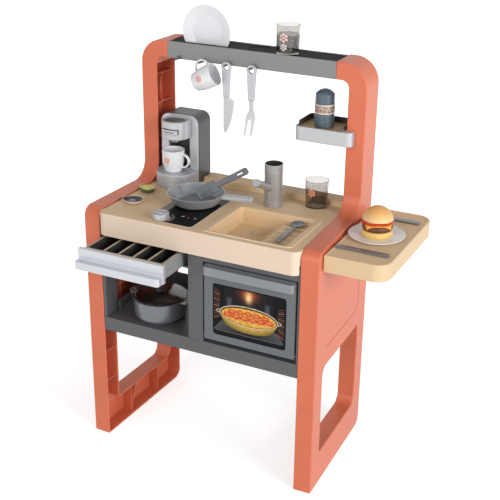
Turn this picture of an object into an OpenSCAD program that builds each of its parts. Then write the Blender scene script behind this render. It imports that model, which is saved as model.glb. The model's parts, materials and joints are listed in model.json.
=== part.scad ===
// Toy play kitchen with an oven, built as separate pieces in millimetres.
// x runs across the kitchen, y from front to back, z up from the floor.

/* [Side frames] */
// Height of the top bar's upper edge
frame_h = 1000; // [940:5:1100]
// Depth of the side frames
frame_d = 356; // [345:1:400]
// Half of the width over the two side frames at the front
half_w = 311; // [300:1:340]
// Thickness of each side frame
frame_t = 44.4; // [38:0.2:50]
// Angle by which the side frames close in towards the back
toe = 1.9; // [0:0.1:2.5]
// Wall thickness of the hollow side frames
frame_wall = 4; // [3:0.5:6]
// Height of the armrest part of the side frames
arm_h = 637; // [620:1:660]
// Front of the uprights, behind the front of the lower frames
upright_y = 268; // [255:1:275]
// Fillet between the arm and the upright
arm_fillet = 48; // [30:1:60]
// Front top corner radius of the lower frames
front_r = 26; // [10:1:35]
// Rear bottom corner radius of the lower frames
rear_r = 25; // [10:1:30]
// Outer radius of the arch at the top of the uprights
arch_r = 60; // [45:1:65]
// Inner radius under the arch
arch_in_r = 20; // [8:1:26]
// Height of the lower edge of the frame opening
gap_low = 89; // [60:1:120]
// Height of the upper edge of the frame opening
gap_high = 322; // [300:1:330]
// Front edge of the frame opening
gap_front = 53; // [45:1:80]
// Depth of the post behind the frame opening
gap_post = 53; // [40:1:70]
// Radius of the frame opening's two wide corners
gap_r = 24; // [10:1:35]
// Radius of the frame opening's two tight corners
gap_tight_r = 5; // [3:1:10]
// Thickness of the ribs inside the frames
rib_t = 2.5; // [2:0.5:4]
// Depth of the shaped line on the outer faces
line_depth = 1.2; // [0.5:0.1:2]

/* [Top bar] */
// Half length of the bar between the arches
bar_half = 224.4; // [210:0.2:235]
// Height of the bar
bar_h = 42; // [34:1:50]
// Wall thickness of the bar
bar_wall = 3; // [2.5:0.5:4]
// Depth of the bar from front to back
bar_d = 79; // [70:1:82]
// Spacing from hook to hook
hook_step = 68; // [60:1:72]
// Position of the first hook
hook_x = -190; // [-195:1:-180]
// Number of hooks
hook_n = 4; // [4:1:5]
// Reach of a hook
hook_reach = 25; // [23:1:28]
// Thickness of a hook
hook_t = 4; // [3:0.5:5]
// Height of a hook's upturned tip
hook_tip = 1.5; // [1:0.5:2]

/* [Worktop] */
// Height of the worktop surface
deck_z = 634; // [626:1:640]
// Thickness of the worktop shell
deck_t = 3; // [2.5:0.5:4]
// Height of the front apron
apron_h = 58; // [45:1:62]
// How far the apron stands in front of the side frames
apron_out = 12; // [6:1:16]
// Corner radius of the apron
apron_r = 22; // [12:1:30]
// Height of the ledge along the back
ledge_h = 11; // [6:1:16]
// Depth of the ledge along the back
ledge_d = 46; // [40:1:52]
// Width of the sink basin
sink_w = 196; // [180:1:204]
// Depth of the sink basin from front to back
sink_l = 172; // [150:1:180]
// Drop of the sink basin
sink_drop = 40; // [30:1:46]
// Left edge of the sink basin
sink_x = 27; // [20:1:34]
// Front edge of the sink basin
sink_y = 10; // [6:1:16]
// Width of the draining board inside the basin
drain_w = 76; // [60:1:90]
// Drop of the draining board
drain_drop = 13; // [10:1:18]
// Number of ribs on the draining board
drain_ribs = 5; // [3:1:6]
// Width of the raised rim round the basin
rim_w = 16; // [8:1:16]
// Height of the raised rim round the basin
rim_h = 2; // [1:0.5:3]

/* [Hob] */
// Width of the hob plate
hob_w = 122; // [110:1:124]
// Depth of the hob plate
hob_l = 208; // [180:1:212]
// Thickness of the hob plate above the worktop
hob_t = 2; // [1.5:0.5:3]
// Radius of the hob knob
knob_r = 21; // [16:0.5:23]
// Height of the hob knob
knob_h = 15; // [12:1:24]
// Radius of the knob spindle
spindle_r = 5; // [4:0.5:6]
// Height of the sound box under the hob
box_h = 24; // [20:1:28]

/* [Tap] */
// Radius of the tap column
tap_r = 22.5; // [18:0.5:24]
// Height of the tap's fixed foot
tap_foot_h = 20; // [14:1:24]
// Height of the turning part of the tap
tap_turn_h = 65; // [54:1:70]
// Height of the tap's upper ring
tap_top_h = 24; // [18:1:30]
// Reach of the spout from the column's axis
spout_reach = 88; // [78:1:94]
// Radius of the spout at the column
spout_r = 9; // [7:0.5:10]
// Rise of the spout, in degrees
spout_rise = 26; // [20:1:30]

/* [Coffee machine] */
// Width of the coffee machine
coffee_w = 106; // [98:1:110]
// Height of the coffee machine above the worktop
coffee_h = 178; // [165:1:190]
// Front of the machine's front frame
coffee_y = 276; // [270:1:280]
// Depth of the casing behind the front frame
coffee_d = 64; // [55:1:68]
// Corner radius of the casing
coffee_r = 22; // [15:1:28]
// Radius of the brewing head
head_r = 36; // [32:1:38]
// Height of the brewing head
head_h = 46; // [40:1:52]
// Height of the drip base
drip_h = 36; // [28:1:42]

/* [Cabinet] */
// Height of the underside of the cabinet shelf
shelf_z = 311; // [305:1:316]
// Height of the cabinet shelf
shelf_h = 36.5; // [30:0.5:42]
// Depth of the cabinet
cabinet_d = 240; // [225:1:250]
// Left face of the centre divider
divider_x = -23; // [-30:1:-15]
// Width of the centre divider
divider_w = 41; // [32:1:45]
// Wall thickness of the cabinet panels
panel_t = 4; // [3:0.5:5]
// Depth of the left stile
stile_d = 53; // [40:1:70]
// Height of the low rail at the back of the open compartment
back_rail_h = 43.5; // [30:0.5:60]

/* [Drawer] */
// Clearance between the drawer front and the left side frame
drawer_side = 3.1; // [2:0.1:6]
// Gap between the drawer front and the centre divider
drawer_gap = 8; // [6:0.5:16]
// Height of the drawer front
drawer_h = 46; // [38:1:50]
// Depth of the drawer box
drawer_d = 214; // [190:1:218]
// How far the drawer stands open
drawer_open = 100; // [60:1:120]
// How far the drawer's grip stands in front of it
drawer_lip = 19; // [12:1:22]
// Wall thickness of the drawer box
drawer_wall = 3; // [2.5:0.5:4]
// Number of partitions in the cutlery insert
slat_n = 4; // [3:1:5]

/* [Oven] */
// Height of the oven door
door_h = 197; // [185:1:204]
// Thickness of the oven door
door_t = 13; // [11:1:15]
// Width of the door's window
window_w = 190; // [170:1:200]
// Height of the door's window
window_h = 133; // [110:1:140]
// Height of the window's lower edge above the door's lower edge
window_up = 18; // [12:1:26]
// Radius of the door's hinge pins
pin_r = 3; // [2.5:0.5:3.5]

/* [Side tray] */
// Width of the side tray
tray_w = 148; // [130:1:160]
// Length of the side tray
tray_l = 336; // [300:1:336]
// Height of the side tray's edge
tray_h = 41; // [32:1:44]
// Height of the side tray's top
tray_z = 629; // [620:1:632]
// Corner radius of the side tray
tray_r = 36; // [25:1:45]

/* [Corner shelf] */
// Width of the corner shelf beside the upright
corner_w = 124; // [110:1:135]
// Depth of the corner shelf
corner_d = 98; // [85:1:100]
// Drop of the corner shelf's lower edge below the bar
corner_drop = 152; // [140:1:170]
// Height of the corner shelf's front band
corner_h = 35; // [28:1:40]

/* [Loose pieces] */
// Radius of the plates
plate_r = 66; // [60:1:68]
// Radius of a mug at its rim
mug_r = 29; // [26:1:31]
// Height of a mug
mug_h = 57; // [50:1:62]
// Radius of a tumbler at its rim
glass_r = 29.5; // [26:0.5:30]
// Height of a tumbler
glass_h = 70; // [60:1:76]
// Radius of the frying pan at its rim
pan_r = 72; // [64:1:74]
// Height of the frying pan
pan_h = 29; // [22:1:34]
// Radius of the pot at its rim
pot_r = 71; // [62:1:73]
// Height of the pot
pot_h = 58; // [48:1:62]
// Radius of the mill
mill_r = 23.5; // [20:0.5:25]
// Height of the mill
mill_h = 90; // [80:1:96]
// Radius of the burger
burger_r = 36; // [32:1:38]
// Length of the carving knife and fork
carver_l = 178; // [160:1:190]
// Length of the table knife and fork
cutlery_l = 127; // [115:1:142]
// Length of the spoon
spoon_l = 138; // [115:1:140]

/* [Places of the loose pieces] */
// Frying pan from the middle of the kitchen
pan_x = -83; // [-86:1:-80]
// Frying pan from the front
pan_y = 152; // [148:1:156]
// Pot from the middle of the kitchen
pot_x = -145; // [-150:1:-140]
// Pot from the front
pot_y = 74; // [70:1:90]
// Mill from the middle of the kitchen
mill_x = 192; // [186:1:198]

/* [Hidden] */
$fn = 64;
eps = 0.01;
gap = 0.3;
rest_gap = 0.05;
run_gap = 0.05;
coral = "#e4765c";
sand = "#dcc3a2";
sand_dark = "#cbb08c";
dark = "#5f5f62";
darker = "#3c3d40";
silver = "#b9bbbe";
grey = "#8d8f92";
black = "#191a1c";
white = "#f3f3f3";
smoke = "#8c8f93";

frame_in = half_w - frame_t / cos(toe);
seam_y = upright_y - arm_fillet;
foot_z = 560;
bar_z = frame_h - bar_h;
bar_s = (half_w - upright_y * sin(toe) - bar_half) / cos(toe);
bar_y = upright_y * cos(toe) - bar_s * sin(toe);
back_y = frame_d * cos(toe);
hook_z = bar_z + 3;
tray_x = half_w + 1;
tray_y = 18;
tray_top = tray_z - 1;
lip_out = 14;
drawer_top = deck_z - apron_h - 1.5;
deck_low = deck_z - deck_t;
cab_z = shelf_z + shelf_h;
divider_r = divider_x + divider_w;
plate_z = bar_z + bar_wall;

// The origin is under the middle of the whole object's box.
left_end = -half_w;
right_end = tray_x + tray_w;
front_end = -drawer_open - drawer_lip;
mid_x = (left_end + right_end) / 2;
mid_y = (front_end + back_y) / 2;

module home() {
    translate([-mid_x, -mid_y, 0]) children();
}

// Inner face of the side frames at depth y.
function in_x(y) = frame_in - y * tan(toe);

// A drawing of y and z, given thickness t along x.
module yz(t) {
    rotate([90, 0, 90]) linear_extrude(t) children();
}

// A drawing of x and z, given thickness t along y.
module xz(t) {
    translate([0, t, 0]) rotate([90, 0, 0]) linear_extrude(t) children();
}

// The waste outside a rounded corner; sx and sy point out of the corner.
module corner_waste(x, y, r, sx, sy) {
    translate([x - sx * r, y - sy * r]) difference() {
        translate([sx > 0 ? 0 : -r - 1, sy > 0 ? 0 : -r - 1]) square(r + 1);
        circle(r);
    }
}

module rounded(x0, y0, x1, y1, r) {
    difference() {
        translate([x0, y0]) square([x1 - x0, y1 - y0]);
        for (sx = [-1, 1], sy = [-1, 1])
            corner_waste(sx > 0 ? x1 : x0, sy > 0 ? y1 : y0, r, sx, sy);
    }
}

module box(x0, y0, z0, x1, y1, z1) {
    translate([x0, y0, z0]) cube([x1 - x0, y1 - y0, z1 - z0]);
}

// ---------------------------------------------------------------- side frames

// Places a right-hand side frame part; x = 0 is its inner face.
module right_side() {
    translate([half_w, 0, 0]) rotate([0, 0, toe]) translate([-frame_t, 0, 0]) children();
}

module frame_outline(inset) {
    difference() {
        translate([inset, inset]) square([frame_d - 2 * inset, arm_h - 2 * inset]);
        corner_waste(inset, arm_h - inset, front_r - inset, -1, 1);
        corner_waste(frame_d - inset, inset, rear_r - inset, 1, -1);
        translate([seam_y - inset, foot_z - inset]) square([frame_d, arm_h]);
    }
}

// The opening is widely rounded at its upper front and lower rear corners.
module frame_opening(inset) {
    y0 = gap_front - inset;
    y1 = frame_d - gap_post + inset;
    z0 = gap_low - inset;
    z1 = gap_high + inset;
    wide = gap_r + inset;
    tight = gap_tight_r + inset;
    difference() {
        translate([y0, z0]) square([y1 - y0, z1 - z0]);
        corner_waste(y0, z1, wide, -1, 1);
        corner_waste(y1, z0, wide, 1, -1);
        corner_waste(y0, z0, tight, -1, -1);
        corner_waste(y1, z1, tight, 1, 1);
    }
}

line_up = 49;
line_in = 9;
line_r = 20;

// A shallow line over and behind the opening, with a rounded turn.
module frame_line() {
    line_z = gap_high + line_up;
    line_y = frame_d - gap_post - line_in;
    turn = line_r;
    x0 = frame_t - line_depth;
    box(x0, gap_front + 15, line_z, frame_t + 1, line_y - turn, line_z + 2);
    box(x0, line_y, line_z + turn, frame_t + 1, line_y + 2, foot_z);
    translate([x0, 0, 0]) yz(line_depth + 1) intersection() {
        translate([line_y - turn, line_z]) square(turn + 2);
        translate([line_y - turn, line_z + turn + 2]) difference() {
            circle(turn + 2);
            circle(turn);
        }
    }
}

rib_in = 9;
post_rib_z = [150, 235];
panel_rib_z = [400, 480];
panel_rib_y = [90, 180, 270];
sill_rib_y = [120, 250];
brace_r = 130;
brace_y = 250;

// Ribs across the posts and the upper panel, and a curved brace in the sill.
module frame_ribs() {
    x0 = rib_in;
    x1 = frame_t - 1;
    for (z = post_rib_z) box(x0, 1, z, x1, gap_front - 1, z + rib_t);
    for (z = post_rib_z) box(x0, frame_d - gap_post + 1, z, x1, frame_d - 1, z + rib_t);
    for (z = panel_rib_z) box(x0, 1, z, x1, frame_d - 1, z + rib_t);
    for (y = panel_rib_y) box(x0, y, gap_high + 1, x1, y + rib_t, foot_z - 1);
    box(x0, seam_y / 2, foot_z - gap_post, x1, seam_y / 2 + rib_t, arm_h - 1);
    for (y = sill_rib_y) box(x0, y, 1, x1, y + rib_t, gap_low - 1);
    translate([x0, 0, 0]) yz(x1 - x0) intersection() {
        translate([1, 1]) square([frame_d - 2 * rear_r, gap_low - 2]);
        translate([brace_y, 2]) difference() {
            circle(brace_r);
            circle(brace_r - rib_t);
        }
    }
}

module right_frame_solid() {
    difference() {
        yz(frame_t) difference() {
            frame_outline(0);
            frame_opening(0);
        }
        translate([-1, 0, 0]) yz(frame_t - frame_wall + 1) difference() {
            frame_outline(frame_wall);
            frame_opening(frame_wall);
        }
        frame_line();
    }
    frame_ribs();
}

module right_frame() {
    color(coral) home() right_side() right_frame_solid();
}

module left_frame() {
    color(coral) home() mirror([1, 0, 0]) right_side() right_frame_solid();
}

// ------------------------------------------------------------------- uprights

module upright_outline(inset) {
    difference() {
        translate([seam_y + inset, foot_z + inset])
            square([frame_d - seam_y - 2 * inset, frame_h - foot_z - 2 * inset]);
        translate([seam_y - 1, arm_h + arm_fillet])
            square([arm_fillet + 1 + inset, frame_h]);
        translate([seam_y, arm_h + arm_fillet]) circle(arm_fillet + inset);
    }
}

module arch_outline(inset) {
    reach = 70;
    difference() {
        translate([-reach, foot_z]) square([reach + frame_t - inset, frame_h - inset - foot_z]);
        corner_waste(frame_t - inset, frame_h - inset, arch_r - inset, 1, 1);
        translate([-reach - 1, 0]) square([reach + 1 - arch_in_r, bar_z + inset]);
        translate([-reach - 1, 0]) square([reach + 1 + inset, bar_z - arch_in_r]);
        translate([-arch_in_r, bar_z - arch_in_r]) circle(arch_in_r + inset);
    }
}

upright_rib_z = [640, 735, 830, 905];
arc_r = 60;

// Ribs across the upright, and an arc between its two upper ribs.
module upright_ribs() {
    x0 = rib_in + 2;
    y0 = upright_y + 1;
    low = upright_rib_z[2];
    high = upright_rib_z[3];
    for (z = upright_rib_z) box(x0, y0, z, frame_t - 1, frame_d - 1, z + rib_t);
    translate([x0, 0, 0]) yz(frame_t - x0 - 1) intersection() {
        translate([y0, low]) square([frame_d - y0 - 1, high - low + 1]);
        translate([y0 + 1.5 * arc_r, (low + high) / 2]) difference() {
            circle(arc_r);
            circle(arc_r - rib_t);
        }
    }
}

module upright_solid() {
    intersection() {
        right_side() difference() {
            intersection() {
                translate([-80, 0, 0]) yz(80 + frame_t) upright_outline(0);
                translate([0, seam_y - 1, 0]) xz(frame_d - seam_y + 2) arch_outline(0);
            }
            translate([-1, 0, 0]) yz(frame_t - frame_wall + 1) intersection() {
                upright_outline(frame_wall);
                translate([0, foot_z]) square([frame_d, bar_z - arch_in_r - foot_z]);
            }
            translate([0, upright_y + frame_wall, 0]) xz(frame_d - upright_y) intersection() {
                arch_outline(frame_wall);
                translate([-60, bar_z - arch_in_r + frame_wall]) square([200, bar_h + arch_in_r]);
            }
        }
        box(bar_half, 0, foot_z, 2 * half_w, 2 * frame_d, frame_h);
    }
    right_side() upright_ribs();
}

module right_upright() {
    color(coral) home() upright_solid();
}

module left_upright() {
    color(coral) home() mirror([1, 0, 0]) upright_solid();
}

// -------------------------------------------------------------------- top bar

module top_bar() {
    color(grey) home() difference() {
        box(-bar_half, bar_y, bar_z, bar_half, bar_y + bar_d, frame_h);
        box(-bar_half - 1, bar_y + bar_wall, plate_z, bar_half + 1, bar_y + bar_d - bar_wall,
            frame_h + 1);
    }
}

wall_plate_x = -129;
wall_plate_y = bar_y + bar_d / 2 - 12;
wall_plate_z = plate_z + plate_r + rest_gap;
slot_half = sqrt(pow(plate_r, 2) - pow(wall_plate_z - frame_h, 2)) + 3;
bar_glass_x = 87;
bar_glass_y = bar_y + 33;
liner_z = frame_h - 2;

module bar_tray() {
    y0 = bar_y + bar_wall + gap / 3;
    y1 = bar_y + bar_d - bar_wall - gap / 3;
    color(black) home() difference() {
        box(-bar_half, y0, plate_z, bar_half, y1, liner_z);
        box(-bar_half - 1, y0 + 3, plate_z - 1, bar_half + 1, y1 - 3, liner_z - 3);
        box(wall_plate_x - slot_half, wall_plate_y - 5, liner_z - 5,
            wall_plate_x + slot_half, wall_plate_y + 9, liner_z + 1);
        translate([bar_glass_x, bar_glass_y, liner_z - 1]) cylinder(r = glass_base_r + 1, h = 2);
        translate([10, bar_y + bar_d / 2, liner_z - 1]) cylinder(r = glass_base_r + 1, h = 2);
    }
}

module hook() {
    half = hook_t / 2;
    tip_t = 2.5;
    box(-half, -hook_reach, -half, half, 0, half);
    box(-half, -hook_reach, -half, half, tip_t - hook_reach, half + hook_tip);
    box(-half - 4, -1.5, -3, half + 4, 0, 6);
}

module bar_hooks() {
    color(grey) home() for (i = [0:hook_n - 1])
        translate([hook_x + i * hook_step, bar_y, hook_z]) hook();
}

// -------------------------------------------------------------------- worktop

deck_back = back_y - 4;
ledge_y = deck_back - ledge_d;
trough_y = ledge_y - 42;
trough_drop = 4;
sink_r = sink_x + sink_w;
sink_back = sink_y + sink_l;
drain_x = sink_r - drain_w;
knob_x = -110;
knob_y = 26;
coffee_x = -201;
basin_r = 8;
outlet_r = 19;
rib_up = 2;
boss_h = 7;
cup_r = glass_r + 1.5;
deck_glass_x = 181;
deck_glass_y = ledge_y - 20;

module deck_outline(inset) {
    a0 = in_x(0) - gap - inset;
    a1 = in_x(deck_back) - gap - inset;
    y0 = -apron_out + inset;
    difference() {
        polygon([[-a0, y0], [a0, y0], [a0, 0], [a1, deck_back - inset],
            [-a1, deck_back - inset], [-a0, 0]]);
        corner_waste(a0, y0, apron_r - inset, 1, -1);
        corner_waste(-a0, y0, apron_r - inset, -1, -1);
    }
}

module worktop_shell() {
    skirt_z = deck_z - 36;
    difference() {
        translate([0, 0, deck_z - apron_h]) linear_extrude(apron_h) deck_outline(0);
        translate([0, 0, deck_z - apron_h - 1])
            linear_extrude(apron_h + 1 - deck_t) deck_outline(deck_t);
        box(-half_w, -gap, 0, half_w, frame_d, skirt_z);
    }
}

module trough_and_ledge() {
    t = deck_t;
    x0 = coffee_x + coffee_w / 2 + 1;
    x1 = in_x(deck_back) - gap;
    difference() {
        box(x0, ledge_y, deck_low, x1, deck_back, deck_z + ledge_h);
        box(x0 + t, ledge_y + t, deck_low - 1, x1 - t, deck_back - t, deck_z + ledge_h - t);
    }
    translate([0, 0, deck_low - trough_drop]) linear_extrude(t + trough_drop)
        rounded(x0 + t, trough_y, x1 - t, ledge_y + t, 6);
    translate([deck_glass_x, deck_glass_y, deck_low - trough_drop])
        cylinder(r = cup_r + t, h = trough_drop + t);
    intersection() {
        box(x0, ledge_y, deck_low, x1, deck_back, deck_z + ledge_h);
        translate([deck_glass_x, deck_glass_y, deck_low]) cylinder(r = cup_r + t, h = ledge_h + t);
    }
}

module trough_and_cup_cuts() {
    t = deck_t;
    x0 = coffee_x + coffee_w / 2 + 1 + 2 * t;
    x1 = in_x(deck_back) - gap - 2 * t;
    translate([0, 0, deck_z - trough_drop]) linear_extrude(deck_z) intersection() {
        rounded(x0, trough_y + t, x1, ledge_y + 10, 5);
        translate([x0, 0]) square([x1 - x0, ledge_y]);
    }
    translate([deck_glass_x, deck_glass_y, deck_z - trough_drop]) cylinder(r = cup_r, h = deck_z);
}

module basin_cuts() {
    drain_z = deck_z - drain_drop;
    difference() {
        translate([0, 0, deck_z - sink_drop]) linear_extrude(deck_z)
            rounded(sink_x, sink_y, sink_r, sink_back, basin_r);
        box(drain_x, sink_y - 1, 0, sink_r + 1, sink_back + 1, drain_z);
    }
    translate([sink_x + 64, sink_y + sink_l * 0.78, deck_z - sink_drop - 1]) difference() {
        cylinder(r = outlet_r, h = 3);
        translate([0, 0, -1]) cylinder(r = outlet_r - 3, h = 5);
    }
}

module draining_ribs() {
    z = deck_z - drain_drop;
    step = (sink_l - 24) / drain_ribs;
    for (i = [0:drain_ribs - 1]) translate([0, sink_y + 16 + i * step, 0])
        box(drain_x + 8, 0, z - 1, sink_r - 8, 8, z + rib_up);
}

module worktop_solid() {
    t = deck_t;
    difference() {
        union() {
            worktop_shell();
            translate([0, 0, deck_z - sink_drop - t]) linear_extrude(sink_drop + t + rim_h)
                rounded(sink_x - t, sink_y - t, sink_r + t, sink_back + t, basin_r + t);
            translate([0, 0, deck_low]) linear_extrude(t + rim_h)
                rounded(sink_x - rim_w, sink_y - 6, sink_r + rim_w, sink_back + rim_w, 14);
            trough_and_ledge();
            translate([knob_x, knob_y, deck_low - boss_h]) cylinder(r = spindle_r + 4, h = boss_h + 1);
        }
        trough_and_cup_cuts();
        basin_cuts();
        translate([knob_x, knob_y, deck_low - boss_h - 1])
            cylinder(r = spindle_r + run_gap, h = boss_h + deck_t + 2);
    }
    draining_ribs();
}

module worktop() {
    color(sand) home() worktop_solid();
}

// ------------------------------------------------------------------------ hob

hob_x = -hob_w - 18;
hob_y = 9;
hob_r = 9;
knob_ring = 4;
strip_gap = 34;
strip_w = 22;
strip_l = 80;
strip_sink = 0.4;
hob_top = deck_z + hob_t;

// The plate is cut out round the knob, with a sunk strip along its left edge.
module hob_plate() {
    ring_r = knob_r + knob_ring;
    strip_y = knob_y + strip_gap;
    color(black) home() difference() {
        translate([0, 0, deck_z]) linear_extrude(hob_t)
            rounded(hob_x, hob_y, hob_x + hob_w, hob_y + hob_l, hob_r);
        translate([knob_x, knob_y, deck_z - 1]) cylinder(r = ring_r, h = hob_t + 2);
        box(hob_x - 1, hob_y - 1, deck_z - 1, knob_x, knob_y + ring_r, deck_z + hob_t + 1);
        box(hob_x - 1, strip_y, hob_top - strip_sink, hob_x + strip_w, strip_y + strip_l,
            hob_top + 1);
    }
}

module hob_knob() {
    color(silver) home() translate([knob_x, knob_y, 0]) {
        difference() {
            translate([0, 0, deck_z + 0.3]) cylinder(r = knob_r, h = knob_h);
            translate([0, 0, deck_z + knob_h - 1.2]) cylinder(r = knob_r - 3, h = 3);
        }
        translate([0, 0, deck_z + knob_h - 1.4]) intersection() {
            cylinder(r = knob_r - 2.9, h = 3);
            translate([-knob_r, -4, 0]) cube([2 * knob_r, 8, 3]);
        }
        translate([0, 0, deck_low - boss_h - 2]) cylinder(r = spindle_r, h = boss_h + deck_t + 4);
        translate([0, 0, deck_low - boss_h - 4]) cylinder(r = spindle_r + 2, h = 3.5);
    }
}

sound_l = 140;
sound_y = 50;

// A closed box under the hob with a slot for its sound.
module sound_box() {
    t = 3;
    x0 = knob_x + spindle_r + 12;
    x1 = divider_x - 1;
    y0 = hob_y + sound_y;
    y1 = y0 + sound_l;
    z0 = deck_low - box_h;
    color(darker) home() difference() {
        box(x0, y0, z0, x1, y1, deck_low);
        box(x0 + t, y0 + t, z0 + t, x1 - t, y1 - t, deck_low - t);
        box(x0 + 2 * t, y0 + 40, z0 - 1, x1 - 2 * t, y0 + 42, z0 + t + 1);
    }
}

// ------------------------------------------------------------------------ tap

tap_x = 89;
tap_y = 231;
tap_turn_z = deck_z + tap_foot_h;
spout_z = tap_turn_z + tap_turn_h * 0.34;
spout_turn = 266;
stub_r = tap_r - 7;
stub_h = 10;
spout_cap_l = 11;
nozzle_r = 5;
nozzle_h = 12;
nozzle_in = 7;

// Along the rising spout, from the column's axis to the spout's end.
module at_spout(reach) {
    rotate([0, 0, spout_turn]) translate([reach, 0, spout_z + reach * tan(spout_rise)]) children();
}

module tap_foot() {
    color(silver) home() translate([tap_x, tap_y, deck_z]) {
        cylinder(r = tap_r, h = tap_foot_h);
        cylinder(r = stub_r, h = tap_foot_h + stub_h);
    }
}

// A slim tube with a thick end cap, and a nozzle that points down from the cap.
module tap_spout() {
    tube_l = spout_reach / cos(spout_rise);
    nozzle_at = spout_reach - nozzle_in;
    color(silver) home() translate([tap_x, tap_y, 0]) {
        difference() {
            union() {
                translate([0, 0, tap_turn_z + gap]) cylinder(r = tap_r, h = tap_turn_h - gap);
                at_spout(0) rotate([0, 90 - spout_rise, 0])
                    cylinder(r1 = spout_r, r2 = spout_r - 1.5, h = tube_l - 2);
                at_spout(0) rotate([0, 90 - spout_rise, 0]) translate([0, 0, tube_l - spout_cap_l])
                    cylinder(r = spout_r + 1, h = spout_cap_l);
                at_spout(nozzle_at) translate([0, 0, -spout_r - 7])
                    cylinder(r = nozzle_r, h = nozzle_h);
            }
            translate([0, 0, tap_turn_z - 1]) cylinder(r = stub_r + run_gap, h = stub_h + 2.3);
            at_spout(nozzle_at) translate([0, 0, -spout_r - 8])
                cylinder(r = nozzle_r - 1.6, h = 7);
        }
    }
}

module tap_top() {
    z = tap_turn_z + tap_turn_h;
    color(silver) home() translate([tap_x, tap_y, z]) difference() {
        cylinder(r = tap_r + 0.6, h = tap_top_h);
        translate([0, 0, 6]) cylinder(r = tap_r - 2, h = tap_top_h);
    }
}

// ------------------------------------------------------------- coffee machine

casing_y = coffee_y + 8;

module machine_outline(inset) {
    w = coffee_w / 2 - inset;
    difference() {
        translate([-w, 0]) square([2 * w, coffee_h - inset]);
        corner_waste(-w, coffee_h - inset, coffee_r - inset, -1, 1);
        corner_waste(w, coffee_h - inset, coffee_r - inset, 1, 1);
    }
}

module coffee_place() {
    home() translate([coffee_x, 0, deck_z]) children();
}

bay_half = 30;
bay_low = drip_h + 4;
bay_high = 124;

module coffee_casing() {
    color(dark) coffee_place() difference() {
        translate([0, casing_y, 0]) xz(coffee_d) machine_outline(0);
        difference() {
            translate([0, casing_y + 3, -1]) xz(coffee_d - 6) machine_outline(4);
            box(-bay_half - 3, casing_y, bay_low - 3, bay_half + 3, casing_y + 33, bay_high + 3);
        }
        box(-bay_half, casing_y - 1, bay_low, bay_half, casing_y + 30, bay_high);
    }
}

module coffee_front() {
    t = casing_y - coffee_y;
    color(silver) coffee_place() difference() {
        translate([0, coffee_y, 0]) xz(t - rest_gap) machine_outline(0);
        box(-bay_half, coffee_y - 1, bay_low, bay_half, casing_y + 1, bay_high);
        box(-coffee_w, coffee_y - 1, -1, coffee_w, casing_y + 1, drip_h + rest_gap);
    }
}

head_y = coffee_y - 14;
head_z = bay_high;
pod_half = 22;
pod_h = 11;
pod_z = head_z + 16;
pod_gap = 0.6;
head_top = head_z + head_h;
nozzle_y = head_y - 6;
button_y = head_y - 6;
button_l = 56;
button_w = 38;
button_room = 8;
button_stem_r = 5;

// The head is round in front and ends flat against the front frame.
module head_block(r, h) {
    y1 = coffee_y - rest_gap;
    linear_extrude(h) {
        intersection() {
            translate([0, head_y]) circle(r);
            translate([-r, head_y - r]) square([2 * r, r + 1]);
        }
        translate([-r, head_y]) square([2 * r, y1 - head_y]);
    }
}

module brew_head() {
    cone_h = 12;
    color(silver) coffee_place() difference() {
        union() {
            translate([0, 0, head_z]) head_block(head_r, head_h);
            translate([0, nozzle_y, head_z - cone_h]) cylinder(r1 = 8, r2 = 18, h = cone_h + eps);
        }
        translate([0, button_y, head_top - button_room]) linear_extrude(button_room + 1)
            button_outline(0);
        translate([0, button_y, pod_z + pod_h]) cylinder(r = button_stem_r + run_gap, h = head_h);
        box(-pod_half - pod_gap, head_y - head_r - 1, pod_z - pod_gap, pod_half + pod_gap,
            coffee_y - 10, pod_z + pod_h + pod_gap);
        translate([0, nozzle_y, head_z - cone_h - 1]) cylinder(r = 4, h = cone_h);
    }
}

module button_outline(inset) {
    rounded(inset - button_l / 2, inset - button_w / 2, button_l / 2 - inset,
        button_w / 2 - inset, button_w / 2 - 1 - inset);
}

module brew_button() {
    t = 2.5;
    z = head_top - 0.5 - t;
    stem_z = z - 8;
    color(darker) coffee_place() {
        translate([0, button_y, z]) linear_extrude(t) button_outline(0.5);
        translate([0, button_y, stem_z]) cylinder(r = button_stem_r, h = z - stem_z + 1);
    }
}

// A drawer for the coffee pod with a finger groove across its rounded front.
module pod_tray() {
    proud = 3;
    back = head_y - 10;
    front = head_y - head_r - proud;
    groove_r = 2.2;
    color(grey) coffee_place() difference() {
        intersection() {
            translate([0, head_y, pod_z]) cylinder(r = head_r + proud, h = pod_h);
            box(-pod_half, front - 1, pod_z, pod_half, back, pod_z + pod_h);
        }
        translate([0, head_y - 14, pod_z + 3]) cylinder(r = pod_half - 7, h = pod_h);
        translate([-pod_half - 1, front + 2, pod_z + pod_h / 2]) rotate([0, 90, 0])
            cylinder(r = groove_r, h = 2 * pod_half + 2);
    }
}

// A D-shaped foot with a slotted top, open from below.
module drip_base() {
    r = coffee_w / 2;
    y = coffee_y - 14;
    t = 4;
    slot_w = 3;
    slot_step = 9;
    slot_n = 9;
    color(silver) coffee_place() difference() {
        union() {
            translate([0, y, 0]) cylinder(r = r, h = drip_h);
            box(-r, y, 0, r, casing_y - rest_gap, drip_h);
        }
        box(-coffee_w, casing_y - rest_gap, -1, coffee_w, casing_y + coffee_w, drip_h + 1);
        translate([0, y, -1]) cylinder(r = r - t, h = drip_h + 1 - t);
        for (i = [0:slot_n - 1]) translate([(i - (slot_n - 1) / 2) * slot_step, 0, 0])
            box(-slot_w / 2, y - 34, drip_h - 1.5, slot_w / 2, coffee_y - 2, drip_h + 1);
    }
}

// -------------------------------------------------------------------- cabinet

module between(y0, y1, inset) {
    polygon([[-in_x(y0) + inset, y0], [in_x(y0) - inset, y0], [in_x(y1) - inset, y1],
        [-in_x(y1) + inset, y1]]);
}

shelf_rib_x = [-170, -80, 110, 190];

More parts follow.
